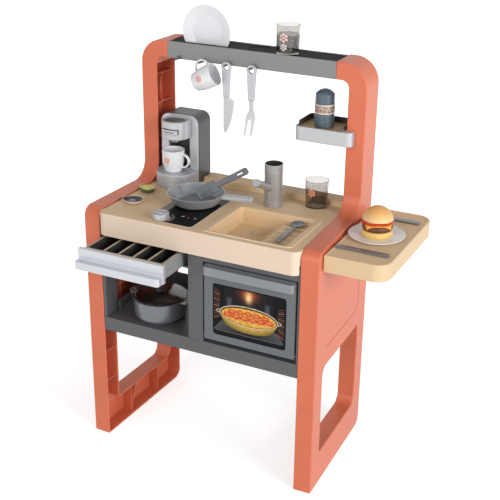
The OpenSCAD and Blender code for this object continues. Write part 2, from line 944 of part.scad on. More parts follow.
module cabinet_shelf() {
    t = panel_t;
    color(dark) home() {
        difference() {
            translate([0, 0, shelf_z]) linear_extrude(shelf_h) between(0, cabinet_d, gap);
            translate([0, 0, shelf_z - 1]) linear_extrude(shelf_h + 1 - t)
                between(t, cabinet_d - t, gap + t);
        }
        for (x = shelf_rib_x)
            box(x, t - 1, shelf_z, x + 3, cabinet_d - t + 1, cab_z - t + 1);
        box(-in_x(cabinet_d) + gap, stile_d + gap, cab_z - 1, -in_x(cabinet_d) + gap + 6,
            cabinet_d - 6, cab_z + 26);
    }
}

module centre_divider() {
    t = panel_t;
    top = deck_low - gap;
    color(dark) home() difference() {
        box(divider_x, 0, cab_z, divider_r, cabinet_d, top);
        box(divider_x + t, t, cab_z - 1, divider_r - t, cabinet_d + 1, top - t);
        hinge_bore(divider_r - t - 1, divider_r + 1);
    }
}

door_y = -2;
pin_y = door_y + door_t / 2;
door_z = cab_z + 12;
pin_z = door_z + 7;
door_swing = 3;

module hinge_bore(x0, x1) {
    translate([x0, pin_y, pin_z]) rotate([0, 90, 0]) cylinder(r = pin_r + run_gap, h = x1 - x0);
}

module left_stile() {
    y0 = 1;
    h = rail_top - runner_t - gap - cab_z;
    color(darker) home() translate([0, 0, cab_z]) linear_extrude(h)
        polygon([[-in_x(y0) + gap, y0], [-in_x(y0) + 8, y0], [-in_x(y0) + 8, stile_d],
            [-in_x(stile_d) + gap, stile_d]]);
}

door_side = 4;
pin_hold = 3;
strip_t = 5.5;
door_l = divider_r + door_side;
door_r = in_x(0) - strip_t - door_side;

// The panel steps back behind the door, and its front strip holds the hinge pin.
module right_panel() {
    x0 = door_r + door_side;
    step_y = door_t + door_swing;
    x1 = in_x(cabinet_d) - panel_t;
    color(darker) home() difference() {
        translate([0, 0, cab_z]) linear_extrude(deck_low - 38 - cab_z)
            polygon([[x0, 0], [in_x(0) - gap, 0], [in_x(cabinet_d) - gap, cabinet_d],
                [x1, cabinet_d], [x1, step_y], [x0, step_y]]);
        hinge_bore(x0 - 1, x0 + pin_hold + 0.5);
    }
}

module oven_liner() {
    t = 3;
    floor_up = 6.5;
    below_sink = 20;
    x0 = divider_r + gap;
    x1 = in_x(cabinet_d) - panel_t - gap;
    y0 = door_t + door_swing;
    floor_z = cab_z + floor_up;
    top = deck_z - sink_drop - deck_t - below_sink;
    color(darker) home() difference() {
        box(x0, y0, cab_z + rest_gap, x1, cabinet_d, top);
        box(x0 + t, y0 - 1, floor_z, x1 - t, cabinet_d - t, top - t);
    }
}

module header_rail() {
    over_door = 2;
    below_sink = 1;
    z0 = door_z + door_h + over_door;
    z1 = deck_z - sink_drop - deck_t - below_sink;
    x0 = divider_r + gap;
    x1 = in_x(0) - strip_t - gap;
    color(dark) home() box(x0, 0, z0, x1, door_t - gap, z1);
}

module back_rail() {
    color(darker) home() translate([0, 0, cab_z + rest_gap]) linear_extrude(back_rail_h)
        polygon([[-in_x(cabinet_d) + 7, cabinet_d - 4], [divider_x - gap, cabinet_d - 4],
            [divider_x - gap, cabinet_d], [-in_x(cabinet_d) + 7, cabinet_d]]);
}

// --------------------------------------------------------------------- drawer

drawer_l = drawer_side - in_x(0);
drawer_r = divider_x - drawer_gap;
front_z = drawer_top - drawer_h;
tub_z = front_z + 3;
tub_top = drawer_top - 3;
tub_l = drawer_l + 9;
tub_r = drawer_r - 9;
front_t = 12;
tub_y = front_t - drawer_open;
rail_top = tub_z - 0.5;
runner_t = 6;
runner_y = 18;

// Two rails under the drawer box, one on the left frame and one on the divider.
module drawer_runners() {
    t = runner_t;
    y0 = runner_y;
    color(darker) home() {
        translate([0, 0, rail_top - t]) linear_extrude(t) polygon([[-in_x(y0) + gap, y0],
            [tub_l + t, y0], [tub_l + t, cabinet_d], [-in_x(cabinet_d) + gap, cabinet_d]]);
        box(tub_r - t, front_t + 2, rail_top - t, divider_x, cabinet_d, rail_top);
    }
}

module drawer_box() {
    t = drawer_wall;
    color(darker) home() difference() {
        box(tub_l, tub_y, tub_z, tub_r, tub_y + drawer_d, tub_top);
        box(tub_l + t, tub_y + t, tub_z + t, tub_r - t, tub_y + drawer_d - t, tub_top + 1);
    }
}

// A grip bar with rounded front corners, proud of the plane at y.
module pull(x0, x1, z0, h, y, proud) {
    r = 9;
    translate([0, 0, z0]) linear_extrude(h) intersection() {
        rounded(x0, y - proud, x1, y + 2 * r, r);
        translate([x0, y - proud]) square([x1 - x0, proud + 1]);
    }
}

// A hollow front panel with a bowed handle along its lower half.
module drawer_front() {
    t = front_t - rest_gap;
    wall = 4;
    y = -drawer_open;
    x1 = drawer_r - 2;
    grip_h = 19;
    color(silver) home() difference() {
        union() {
            box(drawer_l, y, front_z, drawer_r, y + t, drawer_top);
            pull(drawer_l, x1, front_z, grip_h, y, drawer_lip);
        }
        box(drawer_l + wall, y + wall, front_z + wall, drawer_r - wall, y + t + 1,
            drawer_top - wall);
        box(drawer_l + 2 * wall, y - drawer_lip + wall, front_z - 1, x1 - 2 * wall, y + wall - 2,
            front_z + grip_h - wall);
    }
}

module cutlery_insert() {
    t = drawer_wall;
    x0 = tub_l + t + gap;
    x1 = tub_r - t - gap;
    y0 = tub_y + t + gap;
    y1 = tub_y + drawer_d - t - gap;
    step = (x1 - x0 - 6) / (slat_n + 1);
    color(sand_dark) home() {
        difference() {
            box(x0, y0, tub_z + t, x1, y1, tub_top);
            box(x0 + 3, y0 + 6, tub_z + t + 3, x1 - 3, y1 - 3, tub_top + 1);
        }
        for (i = [1:slat_n])
            box(x0 + 3 + i * step - 3, y0 + 5, tub_z + t + 1, x0 + 3 + i * step + 3, y1 - 2,
                tub_top - 3);
    }
}

// ----------------------------------------------------------------------- oven

window_x0 = (door_l + door_r) / 2 - window_w / 2;
window_z0 = door_z + window_up;

module oven_door() {
    top = door_z + door_h;
    color(grey) home() {
        difference() {
            union() {
                translate([0, door_y, 0]) xz(door_t) difference() {
                    rounded(door_l, door_z, door_r, top, 6);
                    rounded(window_x0, window_z0, window_x0 + window_w, window_z0 + window_h, 7);
                }
                hinge_lug(door_l);
                hinge_lug(door_r - 12);
            }
            translate([0, door_y + 3, 0]) xz(door_t) difference() {
                rounded(door_l + 3, door_z + 12, door_r - 3, top - 3, 4);
                rounded(window_x0 - 3, window_z0 - 3, window_x0 + window_w + 3,
                    window_z0 + window_h + 3, 9);
            }
        }
        hinge_pin(door_l - door_side - pin_hold);
        hinge_pin(door_r - 5);
    }
}

module hinge_pin(x) {
    translate([x, pin_y, pin_z]) rotate([0, 90, 0]) cylinder(r = pin_r, h = door_side + pin_hold + 5);
}

module hinge_lug(x) {
    box(x, door_y + 1, door_z, x + 12, door_y + door_t, pin_z + 7);
}

module door_window() {
    y0 = door_y + 1;
    color(black) home() {
        translate([0, y0, 0]) xz(2.6) rounded(window_x0 + 0.1, window_z0 + 0.1,
            window_x0 + window_w - 0.1, window_z0 + window_h - 0.1, 7);
    }
}

// A full-width grip, hollow from below.
module door_handle() {
    wall = 4;
    h = 22;
    z = door_z + door_h - h - 3;
    x0 = door_l + 1;
    x1 = door_r - 1;
    color(silver) home() difference() {
        pull(x0, x1, z, h, door_y, lip_out);
        box(x0 + 2 * wall, door_y - lip_out + wall, z - 1, x1 - 2 * wall, door_y + 1,
            z + h - wall);
        box(door_l - 1, door_y - rest_gap, z - 1, door_r + 1, door_y + door_t, z + h + 1);
    }
}

// ------------------------------------------------------------------ side tray

// A shell with a shallow sunk top, and two arms that carry it on the frame.
module side_tray() {
    t = 3;
    arm_z = tray_z - tray_h;
    arm_w = 16;
    arm_y = [60, tray_l - 80];
    rib_x = [50, 100];
    color(sand) home() {
        difference() {
            translate([0, 0, tray_z - tray_h]) linear_extrude(tray_h) tray_outline(0);
            translate([0, 0, tray_z - tray_h - 1]) linear_extrude(tray_h + 1 - t) tray_outline(t);
            translate([0, 0, tray_top]) linear_extrude(tray_z) tray_outline(7);
        }
        difference() {
            right_side() translate([0, tray_y, 0]) for (y = arm_y)
                box(frame_t, y, arm_z, frame_t + tray_w * 0.7, y + arm_w, tray_z - 2 * t);
            box(half_w, 0, arm_z - 1, tray_x + 1, tray_y, tray_z);
        }
        translate([tray_x, 0, 0]) for (x = rib_x)
            box(x, tray_y + 1, tray_z - 12, x + t, tray_y + tray_l - 1, tray_z - t + 1);
    }
}

module tray_outline(inset) {
    x0 = tray_x + inset;
    x1 = tray_x + tray_w - inset;
    y0 = tray_y + inset;
    y1 = tray_y + tray_l - inset;
    difference() {
        translate([x0, y0]) square([x1 - x0, y1 - y0]);
        corner_waste(x1, y0, tray_r - inset, 1, -1);
        corner_waste(x1, y1, tray_r - inset, 1, 1);
    }
}

// --------------------------------------------------------------- corner shelf

corner_z = bar_z - corner_drop;
corner_x0 = frame_in - upright_y * tan(toe) - corner_w;
corner_x1 = frame_in - upright_y * tan(toe) + 21;
corner_y0 = upright_y - 26;

module corner_outline(inset) {
    rounded(corner_x0 + inset, corner_y0 + inset, corner_x1 - inset, corner_y0 + corner_d - inset,
        14 - inset);
}

module upright_core() {
    right_side() box(-gap, upright_y - gap, 0, frame_t + 5, frame_d + 5, frame_h);
}

module corner_shelf() {
    color(silver) home() difference() {
        translate([0, 0, corner_z]) linear_extrude(corner_h) corner_outline(0);
        translate([0, 0, corner_z - 1]) linear_extrude(corner_h - 10) difference() {
            corner_outline(3);
            translate([in_x(upright_y) - 4, 0]) square([2 * frame_t, 2 * frame_d]);
        }
        translate([0, 0, corner_z + corner_h - 8]) linear_extrude(9) difference() {
            corner_outline(3);
            translate([in_x(upright_y) - 4, 0]) square([2 * frame_t, 2 * frame_d]);
        }
        upright_core();
    }
}

// A tray set into the shelf; its wall stands up behind the open front.
module corner_liner() {
    t = 3;
    seat = 8;
    wall_up = 9;
    front_d = 20;
    z = corner_z + corner_h - seat;
    color(darker) home() difference() {
        translate([0, 0, z]) linear_extrude(seat + wall_up) difference() {
            corner_outline(t + gap);
            translate([in_x(upright_y) - 4 - gap, 0]) square([2 * frame_t, 2 * frame_d]);
        }
        translate([0, 0, z + t]) linear_extrude(seat + wall_up) difference() {
            corner_outline(2 * t);
            translate([in_x(upright_y) - 7, 0]) square([2 * frame_t, 2 * frame_d]);
        }
        box(corner_x0 - 1, corner_y0 - 1, z + seat + 0.5, corner_x1 + 1, corner_y0 + front_d,
            z + seat + wall_up + 1);
    }
}

// --------------------------------------------------------------- loose pieces

glass_base_r = glass_r - 2.5;

// A turned piece: outer profile less inner profile.
module turned(points) {
    rotate_extrude() polygon(points);
}

module plate() {
    r = plate_r;
    turned([[0, 0], [r * 0.62, 0], [r * 0.68, 2], [r, 6], [r, 8], [r * 0.67, 4.6],
        [r * 0.6, 2.4], [0, 2.4]]);
}

module wall_plate() {
    color(white) home() translate([wall_plate_x, wall_plate_y + 6, wall_plate_z])
        rotate([90, 0, 0]) plate();
}

function mug_base_r() = mug_r * 0.76;

ring_r = 14.5;
ring_t = 4;
ring_w = 7;
ring_x = mug_r;
ring_z = mug_h * 0.53;

module mug() {
    b = mug_base_r();
    difference() {
        union() {
            turned([[0, 0], [b - 2, 0], [b, 2], [mug_r - 1, mug_h * 0.45], [mug_r, mug_h],
                [0, mug_h]]);
            translate([ring_x, 0, ring_z]) rotate([90, 0, 0]) translate([0, 0, -ring_w / 2])
                difference() {
                    cylinder(r = ring_r + ring_t, h = ring_w);
                    translate([0, 0, -1]) cylinder(r = ring_r, h = ring_w + 2);
                }
        }
        turned([[0, 2.5], [b - 3.5, 2.5], [b - 2, 5], [mug_r - 3.2, mug_h * 0.45],
            [mug_r - 2.2, mug_h + 1], [0, mug_h + 1]]);
    }
}

mug_drip_x = -4;
mug_drip_y = head_y - 10;
mug_tilt = 62;
mug_lean = 14;

module coffee_mug() {
    color(white) coffee_place() translate([mug_drip_x, mug_drip_y, drip_h + rest_gap]) mug();
}

hang_x = hook_x + hook_step;
hang_y = bar_y - 16.5;

// The mug hangs by its handle and leans out from the bar: the ring's inner side rests on the
// hook's upper left edge.
module hanging_mug() {
    lift = ring_w / 2 * sin(mug_lean) + 0.15;
    color(white) home() translate([hang_x - hook_t / 2, hang_y, hook_z + hook_t / 2 + lift])
        rotate([-mug_lean, 0, 0]) rotate([0, mug_tilt, 0]) mug_from_handle();
}

// The ring's inner end lies on the origin, and the mug lies to its right.
module mug_from_handle() {
    rotate([0, 0, 180]) translate([-ring_x - ring_r, 0, -ring_z]) mug();
}

module tumbler() {
    b = glass_base_r;
    turned([[0, 0], [b, 0], [glass_r, glass_h], [glass_r - 1.6, glass_h], [b - 1.6, 5],
        [0, 5]]);
}

module bar_tumbler() {
    color(smoke) home() translate([bar_glass_x, bar_glass_y, liner_z - 1 + rest_gap]) tumbler();
}

module deck_tumbler() {
    color(smoke) home() translate([deck_glass_x, deck_glass_y, deck_z - trough_drop + rest_gap])
        tumbler();
}

carver_y = bar_y - 11;
carver_t = 8;
hole_r = 7;
handle_w = 26;
handle_l = 80;
handle_end = 6 - handle_l;
hole_z = hook_z + hook_t / 2 + 0.1 - sqrt(pow(hole_r, 2) - pow(hook_t / 2, 2));

module carver_handle() {
    a = handle_w / 2;
    b = 8;
    z = handle_end;
    translate([0, -carver_t / 2, 0]) difference() {
        union() {
            xz(carver_t) circle(a);
            xz(carver_t) polygon([[1 - a, 3], [a - 1, 3], [b, z], [-b, z]]);
        }
        translate([0, -1, 0]) xz(carver_t + 2) circle(hole_r);
    }
}

module carver_place(x) {
    home() translate([x, carver_y, hole_z]) children();
}

module knife_handle() {
    color(silver) carver_place(hook_x + 2 * hook_step) carver_handle();
}

// A broad blade: a straight left edge, a sloped heel and a right edge curved to the tip.
module knife_blade() {
    l = carver_l - handle_w / 2;
    z = handle_end;
    curve_r = 171;
    color(white) carver_place(hook_x + 2 * hook_step) translate([0, -1.2, 0]) xz(2.4)
        intersection() {
            polygon([[-7.5, z], [-7.5, 15 - l], [-6.4, 8 - l], [-4, 2.5 - l], [-1, -l], [30, -l],
                [30, z - 12.3], [8, z]]);
            translate([20.5 - curve_r, z - 8]) circle(curve_r, $fn = 256);
        }
}

prong_bend = 20;

// The fork's head and two prongs bend forward from the neck.
module carving_fork() {
    z = handle_end;
    neck_l = 31;
    l = (carver_l - handle_w / 2 + z - neck_l) * 0.95;
    color(silver) carver_place(hook_x + 3 * hook_step) {
        carver_handle();
        translate([0, -2, 0]) xz(4) polygon([[-5.5, z + 2], [5.5, z + 2], [5.5, z - neck_l + 7],
            [9, z - neck_l - 1], [-9, z - neck_l - 1], [-5.5, z - neck_l + 7]]);
        translate([0, 0, z - neck_l]) rotate([-prong_bend, 0, 0]) translate([0, -2, 0]) xz(4)
            polygon([[-8.5, 0.5], [8.5, 0.5], [12.2, -9], [12.2, -15], [10.2, 3 - l], [8, -l],
                [5.6, 3 - l], [4.2, -20], [2.6, -16.5], [0, -15], [-2.6, -16.5], [-4.2, -20],
                [-5.6, 3 - l], [-8, -l], [-10.2, 3 - l], [-12.2, -15], [-12.2, -9]]);
    }
}

pan_grip_l = 80;
pan_grip_w = 22;
pan_grip_t = 8;
pan_grip_turn = 10;

module frying_pan() {
    r = pan_r;
    b = r - 23;
    w = pan_grip_w / 2;
    color(grey) home() translate([pan_x, pan_y, hob_top + rest_gap]) {
        difference() {
            union() {
                turned([[0, 0], [b, 0], [b + 8, 4], [r - 3, pan_h - 5], [r, pan_h], [0, pan_h]]);
                rotate([0, 0, pan_grip_turn]) translate([r - 8, 0, pan_h - pan_grip_t - 1])
                    difference() {
                        linear_extrude(pan_grip_t) rounded(-w, -w, pan_grip_l, w, w - 5);
                        translate([pan_grip_l - 12, 0, -1]) cylinder(h = pan_grip_t + 2, r = 4);
                    }
            }
            turned([[0, 3], [b - 1, 3], [b + 5, 6], [r - 6, pan_h - 5], [r - 3, pan_h + 1],
                [0, pan_h + 1]]);
        }
    }
}

module along(a, b) {
    d = b - a;
    translate(a) rotate([0, acos(d[2] / norm(d)), atan2(d[1], d[0])]) children();
}

turner_a = [-91, 173, 650];
turner_b = [8, 252, 706];
turner_roll = 35;
turner_w = 36;
turner_blade = 53;
turner_slot_step = 6.4;
turner_slot_w = 3;
turner_slot_in = 6;
turner_slot_l = 32;

module turner() {
    l = norm(turner_b - turner_a);
    b = turner_blade;
    color(grey) home() along(turner_a, turner_b) rotate([0, 0, turner_roll]) {
        translate([-2, 0, 0]) yz(5) difference() {
            polygon([[-6.5, b - 2], [6.5, b - 2], [10, l - 7], [7, l], [-7, l], [-10, l - 7]]);
            rounded(-3, l - 30, 3, l - 14, 2.5);
        }
        difference() {
            translate([-1, -turner_w / 2, 0]) cube([2.2, turner_w, b]);
            for (i = [-2:2])
                translate([-5, i * turner_slot_step - turner_slot_w / 2, turner_slot_in])
                    cube([10, turner_slot_w, turner_slot_l]);
        }
    }
}

// A spoon along y: a shallow bowl at the far end of a flat handle.
module spoon_shape(l) {
    bowl_h = 7;
    bowl_l = 42;
    ball_r = 35;
    t = 1.8;
    translate([0, l - bowl_l / 2, 0]) difference() {
        intersection() {
            translate([0, 0, ball_r]) sphere(r = ball_r);
            linear_extrude(bowl_h) intersection() {
                translate([4, 0]) circle(bowl_l / 2);
                translate([-4, 0]) circle(bowl_l / 2);
            }
        }
        translate([0, 0, ball_r + t]) sphere(r = ball_r);
    }
    translate([0, 0, 3]) linear_extrude(3) polygon([[-5.5, 0], [5.5, 0], [4, l - bowl_l + 3],
        [-4, l - bowl_l + 3]]);
}

spoon_z = deck_z - drain_drop + rib_up;
spoon_x = drain_x + drain_w / 2 + 2;
spoon_in = 30;
spoon_y = sink_y + spoon_in;

module spoon() {
    color(grey) home() translate([spoon_x, spoon_y, spoon_z + rest_gap]) spoon_shape(spoon_l);
}

setting_in = 6;
knife_in = 58;
fork_in = 62;
tine_step = 4.6;
tine_gap = 2.2;
setting_x = tray_x + setting_in;
knife_y = tray_y + knife_in;
fork_y = tray_y + tray_l - fork_in;
cutlery_t = 4;

module table_knife() {
    color(grey) home() translate([setting_x, knife_y, tray_z + rest_gap])
        linear_extrude(cutlery_t) union() {
            rounded(0, -7, cutlery_l * 0.55, 7, 3);
            rounded(cutlery_l * 0.5, -9, cutlery_l, 7, 7);
        }
}

module table_fork() {
    l = cutlery_l;
    color(grey) home() translate([setting_x, fork_y, tray_z + rest_gap])
        linear_extrude(cutlery_t) difference() {
            union() {
                rounded(l * 0.35, -7, l, 7, 3);
                rounded(l * 0.2, -4, l * 0.4, 4, 2);
                rounded(0, -9, l * 0.26, 9, 5);
            }
            for (i = [-1:1]) translate([-1, i * tine_step - tine_gap / 2])
                square([l * 0.17, tine_gap]);
        }
}

dish_x = tray_x + 66;
dish_y = tray_y + 160;

module tray_plate() {
    color(white) home() translate([dish_x, dish_y, tray_top + rest_gap]) plate();
}

bun_z = tray_top + 2 * rest_gap + 2.4;
bun_h = 17;
patty_h = 14;
cheese_t = 4;
tomato_t = 7;
dome_r = 37;
dome_drop = 7;

module burger_place(z) {
    home() translate([dish_x, dish_y, z]) children();
}

module bun_base() {
    r = burger_r;
    color("#e2b26c") burger_place(bun_z)
        turned([[0, 0], [r - 5, 0], [r - 1, 5], [r, 10], [r - 1, bun_h], [0, bun_h]]);
}

module burger_filling() {
    color("#7a4526") burger_place(bun_z + bun_h) {
        cylinder(r = burger_r - 1.5, h = patty_h);
        translate([0, 0, patty_h]) cylinder(r = burger_r - 2, h = cheese_t);
        translate([0, 0, patty_h + cheese_t]) cylinder(r = burger_r + 0.5, h = tomato_t);
    }
}

module bun_top() {
    r = burger_r;
    z = bun_z + bun_h + patty_h + cheese_t + tomato_t + rest_gap;
    color("#e6b870") burger_place(z) intersection() {
        translate([0, 0, -dome_drop]) sphere(r = dome_r);
        cylinder(r = r, h = dome_r);
    }
}

module pot() {
    r = pot_r;
    color(grey) home() translate([pot_x, pot_y, cab_z + rest_gap]) difference() {
        union() {
            turned([[0, 0], [r - 14, 0], [r - 6, 10], [r - 3, pot_h - 3], [r, pot_h], [0, pot_h]]);
            for (s = [-1, 1]) translate([s * (r + 1), 0, pot_h - 6]) cylinder(r = 16, h = 5);
        }
        turned([[0, 3], [r - 15, 3], [r - 9, 11], [r - 6, pot_h - 3], [r - 5, pot_h + 1],
            [0, pot_h + 1]]);
        for (s = [-1, 1]) translate([s * (r + 7), 0, pot_h - 8]) cylinder(r = 4, h = 10);
    }
}

lid_in = 6;
lid_sink = 3;
lid_play = 0.4;
lid_h = 12;
lid_stem_r = 4;
lid_stem_h = 5;
lid_knob_r = 11;
lid_knob_h = 7;

// A dished lid with a collar that drops into the pot, and a knob on a short stem.
module pot_lid() {
    r = pot_r - lid_in;
    z = cab_z + pot_h - lid_sink + lid_play;
    color(smoke) home() translate([pot_x, pot_y, z]) {
        turned([[0, lid_h - 3], [r * 0.5, lid_h - 4.5], [r - 3, lid_sink], [r - 3, 0],
            [r - 1.4, 0], [r - 1.4, lid_sink], [r + 3.5, lid_sink], [r + 3.5, lid_sink + 2],
            [r * 0.5, lid_h - 2], [0, lid_h]]);
        translate([0, 0, lid_h - 1]) cylinder(r = lid_stem_r, h = lid_stem_h);
        translate([0, 0, lid_h + 2]) cylinder(r = lid_knob_r, h = lid_knob_h);
    }
}

mill_y = corner_y0 + 45;
mill_z = corner_z + corner_h - 5;
mill_cap_z = mill_h * 0.64;

module mill_place() {
    home() translate([mill_x, mill_y, mill_z + rest_gap]) children();
}

module mill_body() {
    r = mill_r;
    color("#51626f") mill_place() turned([[0, 0], [r - 1.5, 0], [r, 1.5], [r, 17], [r - 1, 18],
        [r, 19], [r, 22], [r - 1, 23], [r, 24], [r, mill_cap_z - 0.3], [5.9, mill_cap_z - 0.3],
        [5.9, mill_cap_z + 10], [0, mill_cap_z + 10]]);
}

// A domed cap with a flat top.
module mill_cap() {
    r = mill_r;
    h = mill_h - mill_cap_z;
    color("#51626f") mill_place() translate([0, 0, mill_cap_z]) difference() {
        intersection() {
            translate([0, 0, h - r - 3]) sphere(r = r + 4.5);
            cylinder(r = r - 0.5, h = h);
        }
        translate([0, 0, -1]) cylinder(r = 5.9 + run_gap, h = 11.6);
    }
}

food_x = -233;
mussel_y = 82;
avocado_y = 167;

module mussel_shell() {
    color(darker) home() translate([food_x, mussel_y, deck_z + rest_gap]) difference() {
        linear_extrude(11) intersection() {
            translate([9, 0]) circle(28);
            translate([0, -18]) circle(44);
            translate([0, 18]) circle(44);
        }
        translate([9, 0, 32]) sphere(r = 30);
    }
}

module avocado_half() {
    color("#b4b06a") home() translate([food_x, avocado_y, deck_z + rest_gap]) difference() {
        linear_extrude(12) {
            circle(22);
            translate([-11, -3]) circle(14);
        }
        translate([0, 0, 21]) sphere(r = 14);
    }
}

left_frame();
right_frame();
left_upright();
right_upright();
top_bar();
bar_tray();
bar_hooks();
worktop();
hob_plate();
hob_knob();
sound_box();
tap_foot();
tap_spout();
tap_top();
coffee_casing();
coffee_front();
brew_head();
brew_button();
pod_tray();
drip_base();
cabinet_shelf();
centre_divider();
left_stile();
right_panel();
oven_liner();
header_rail();
back_rail();
drawer_runners();
drawer_box();
drawer_front();
cutlery_insert();
oven_door();
door_window();
door_handle();
side_tray();
corner_shelf();
corner_liner();
wall_plate();
coffee_mug();
hanging_mug();
bar_tumbler();
deck_tumbler();
knife_handle();
knife_blade();
carving_fork();
frying_pan();
turner();
spoon();
table_knife();
table_fork();
tray_plate();
bun_base();
burger_filling();
bun_top();
pot();
pot_lid();
mill_body();
mill_cap();
mussel_shell();
avocado_half();
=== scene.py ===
import json
import math

import bmesh
import bpy
import numpy as np
from mathutils import Matrix, Vector, noise
from mathutils.bvhtree import BVHTree


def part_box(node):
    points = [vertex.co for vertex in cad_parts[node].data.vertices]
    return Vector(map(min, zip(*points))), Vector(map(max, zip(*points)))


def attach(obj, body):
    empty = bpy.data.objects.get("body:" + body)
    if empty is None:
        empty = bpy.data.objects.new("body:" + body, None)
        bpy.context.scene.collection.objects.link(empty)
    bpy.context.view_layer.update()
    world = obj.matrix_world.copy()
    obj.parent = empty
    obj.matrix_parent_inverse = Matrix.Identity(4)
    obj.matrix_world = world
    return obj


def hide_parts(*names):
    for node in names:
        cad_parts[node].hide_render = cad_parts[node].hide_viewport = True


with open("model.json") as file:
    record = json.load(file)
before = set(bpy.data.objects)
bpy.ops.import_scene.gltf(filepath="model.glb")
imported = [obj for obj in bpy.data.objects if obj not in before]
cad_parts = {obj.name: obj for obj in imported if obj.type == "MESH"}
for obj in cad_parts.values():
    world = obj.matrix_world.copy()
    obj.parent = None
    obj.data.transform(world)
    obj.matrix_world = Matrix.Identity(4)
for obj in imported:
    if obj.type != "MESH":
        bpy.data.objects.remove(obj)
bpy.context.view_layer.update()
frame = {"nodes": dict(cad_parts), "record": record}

nodes_of = frame["nodes"]
body_of = {n: b for b, ns in frame["record"]["behaviour"]["bodies"].items() for n in ns}

# ---------------------------------------------------------------- camera
# The view of the photograph: a long lens 1.55 m above the floor, at the kitchen's front right.
lens = bpy.data.cameras.new("camera")
lens.lens = 74.8
lens.sensor_width = 36
camera = bpy.data.objects.new("camera", lens)
bpy.context.scene.collection.objects.link(camera)
view_right = Vector((0.89626, 0.44334, 0.01270))
view_up = Vector((-0.18700, 0.35177, 0.91722))
view_back = view_right.cross(view_up)
camera.matrix_world = Matrix((
    (view_right.x, view_up.x, view_back.x, 1.01180),
    (view_right.y, view_up.y, view_back.y, -2.05829),
    (view_right.z, view_up.z, view_back.z, 1.54988),
    (0, 0, 0, 1),
))
bpy.context.scene.camera = camera

# ---------------------------------------------------------------- side frames
# Two hollow half shells of coral polypropylene, each a lower frame and an upright that
# plugs into it. Injection moulded, ribbed on the open inner side, satin outside.


def linear(rgb):
    """A colour given as 0 to 255 a channel, turned into light."""
    return [(v / 255 / 12.92) if v < 11 else ((v / 255 + 0.055) / 1.055) ** 2.4 for v in rgb] + [1.0]


def finish(name, rgb, rough, grain=0.04, grain_size=0.0006, cloud=0.04, cloud_size=0.09,
           metal=0.0, coat=0.0, speck=0.0, shine=0.5, clear=0.0):
    """Moulded plastic: a faint cloud in the colour, an uneven gloss and a fine skin."""
    material = bpy.data.materials.new(name)
    material.use_nodes = True
    tree = material.node_tree
    shader = tree.nodes["Principled BSDF"]
    where = tree.nodes.new("ShaderNodeTexCoord")
    clouds = tree.nodes.new("ShaderNodeTexNoise")
    clouds.inputs["Scale"].default_value = 1 / cloud_size
    clouds.inputs["Detail"].default_value = 3
    skin = tree.nodes.new("ShaderNodeTexNoise")
    skin.inputs["Scale"].default_value = 1 / grain_size
    skin.inputs["Detail"].default_value = 2
    tint = tree.nodes.new("ShaderNodeValToRGB")
    colour = Vector(linear(rgb)[:3])
    tint.color_ramp.elements[0].position = 0.3
    tint.color_ramp.elements[0].color = (*(colour * (1 - cloud)), 1)
    tint.color_ramp.elements[1].position = 0.7
    tint.color_ramp.elements[1].color = (*(colour * (1 + cloud)), 1)
    mixed = tree.nodes.new("ShaderNodeMath")
    mixed.operation = "MULTIPLY_ADD"
    mixed.inputs[1].default_value = speck
    gloss = tree.nodes.new("ShaderNodeMapRange")
    gloss.inputs["To Min"].default_value = max(rough - 0.05, 0.02)
    gloss.inputs["To Max"].default_value = rough + 0.05
    bump = tree.nodes.new("ShaderNodeBump")
    bump.inputs["Strength"].default_value = grain
    bump.inputs["Distance"].default_value = grain_size
    link = tree.links.new
    link(where.outputs["Object"], clouds.inputs["Vector"])
    link(where.outputs["Object"], skin.inputs["Vector"])
    link(skin.outputs["Fac"], mixed.inputs[0])
    link(clouds.outputs["Fac"], mixed.inputs[2])
    link(mixed.outputs[0], tint.inputs["Fac"])
    link(tint.outputs["Color"], shader.inputs["Base Color"])
    link(clouds.outputs["Fac"], gloss.inputs["Value"])
    link(gloss.outputs["Result"], shader.inputs["Roughness"])
    link(skin.outputs["Fac"], bump.inputs["Height"])
    link(bump.outputs["Normal"], shader.inputs["Normal"])
    shader.inputs["Metallic"].default_value = metal
    shader.inputs["Specular IOR Level"].default_value = shine
    shader.inputs["Transmission Weight"].default_value = clear
    shader.inputs["Coat Weight"].default_value = coat
    shader.inputs["Coat Roughness"].default_value = 0.12
    return material


def weigh_edges(form, edge, sharp):
    """Marks the edges to round; a chain of edges takes the radius its narrowest place allows."""
    weights = form.edges.layers.float.new("bevel_weight_edge")
    group, limit = {}, {}

    def root(e):
        while group[e] != e:
            e = group[e]
        return e

    marked = [e for e in form.edges if len(e.link_faces) == 2 and e.calc_face_angle(0) > sharp]
    for e in marked:
        group[e] = e
    for e in marked:
        along = (e.verts[1].co - e.verts[0].co).normalized()
        room = edge
        for v in e.verts:
            for f in v.link_edges:
                if f is e:
                    continue
                other = f.other_vert(v).co - v.co
                turn = abs(other.normalized().dot(along))
                if turn < 0.8:
                    room = min(room, 0.42 * other.length)
                elif f in group:
                    group[root(f)] = root(e)
        limit[e] = room
    least = {}
    for e in marked:
        least[root(e)] = min(least.get(root(e), edge), limit[e])
    for e in marked:
        e[weights] = least[root(e)] / edge


def add_piece(name, mesh, body, *finishes):
    """A new object from a mesh whose points are already in place."""
    for m in finishes:
        mesh.materials.append(m)
    piece = bpy.data.objects.new(name, mesh)
    bpy.context.scene.collection.objects.link(piece)
    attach(piece, body)
    return piece


def spread(mesh):
    """The area of the faces, as drawn and as outlined; an outline that crosses itself tells them apart."""
    mesh.calc_loop_triangles()
    return sum(t.area for t in mesh.loop_triangles), sum(p.area for p in mesh.polygons)


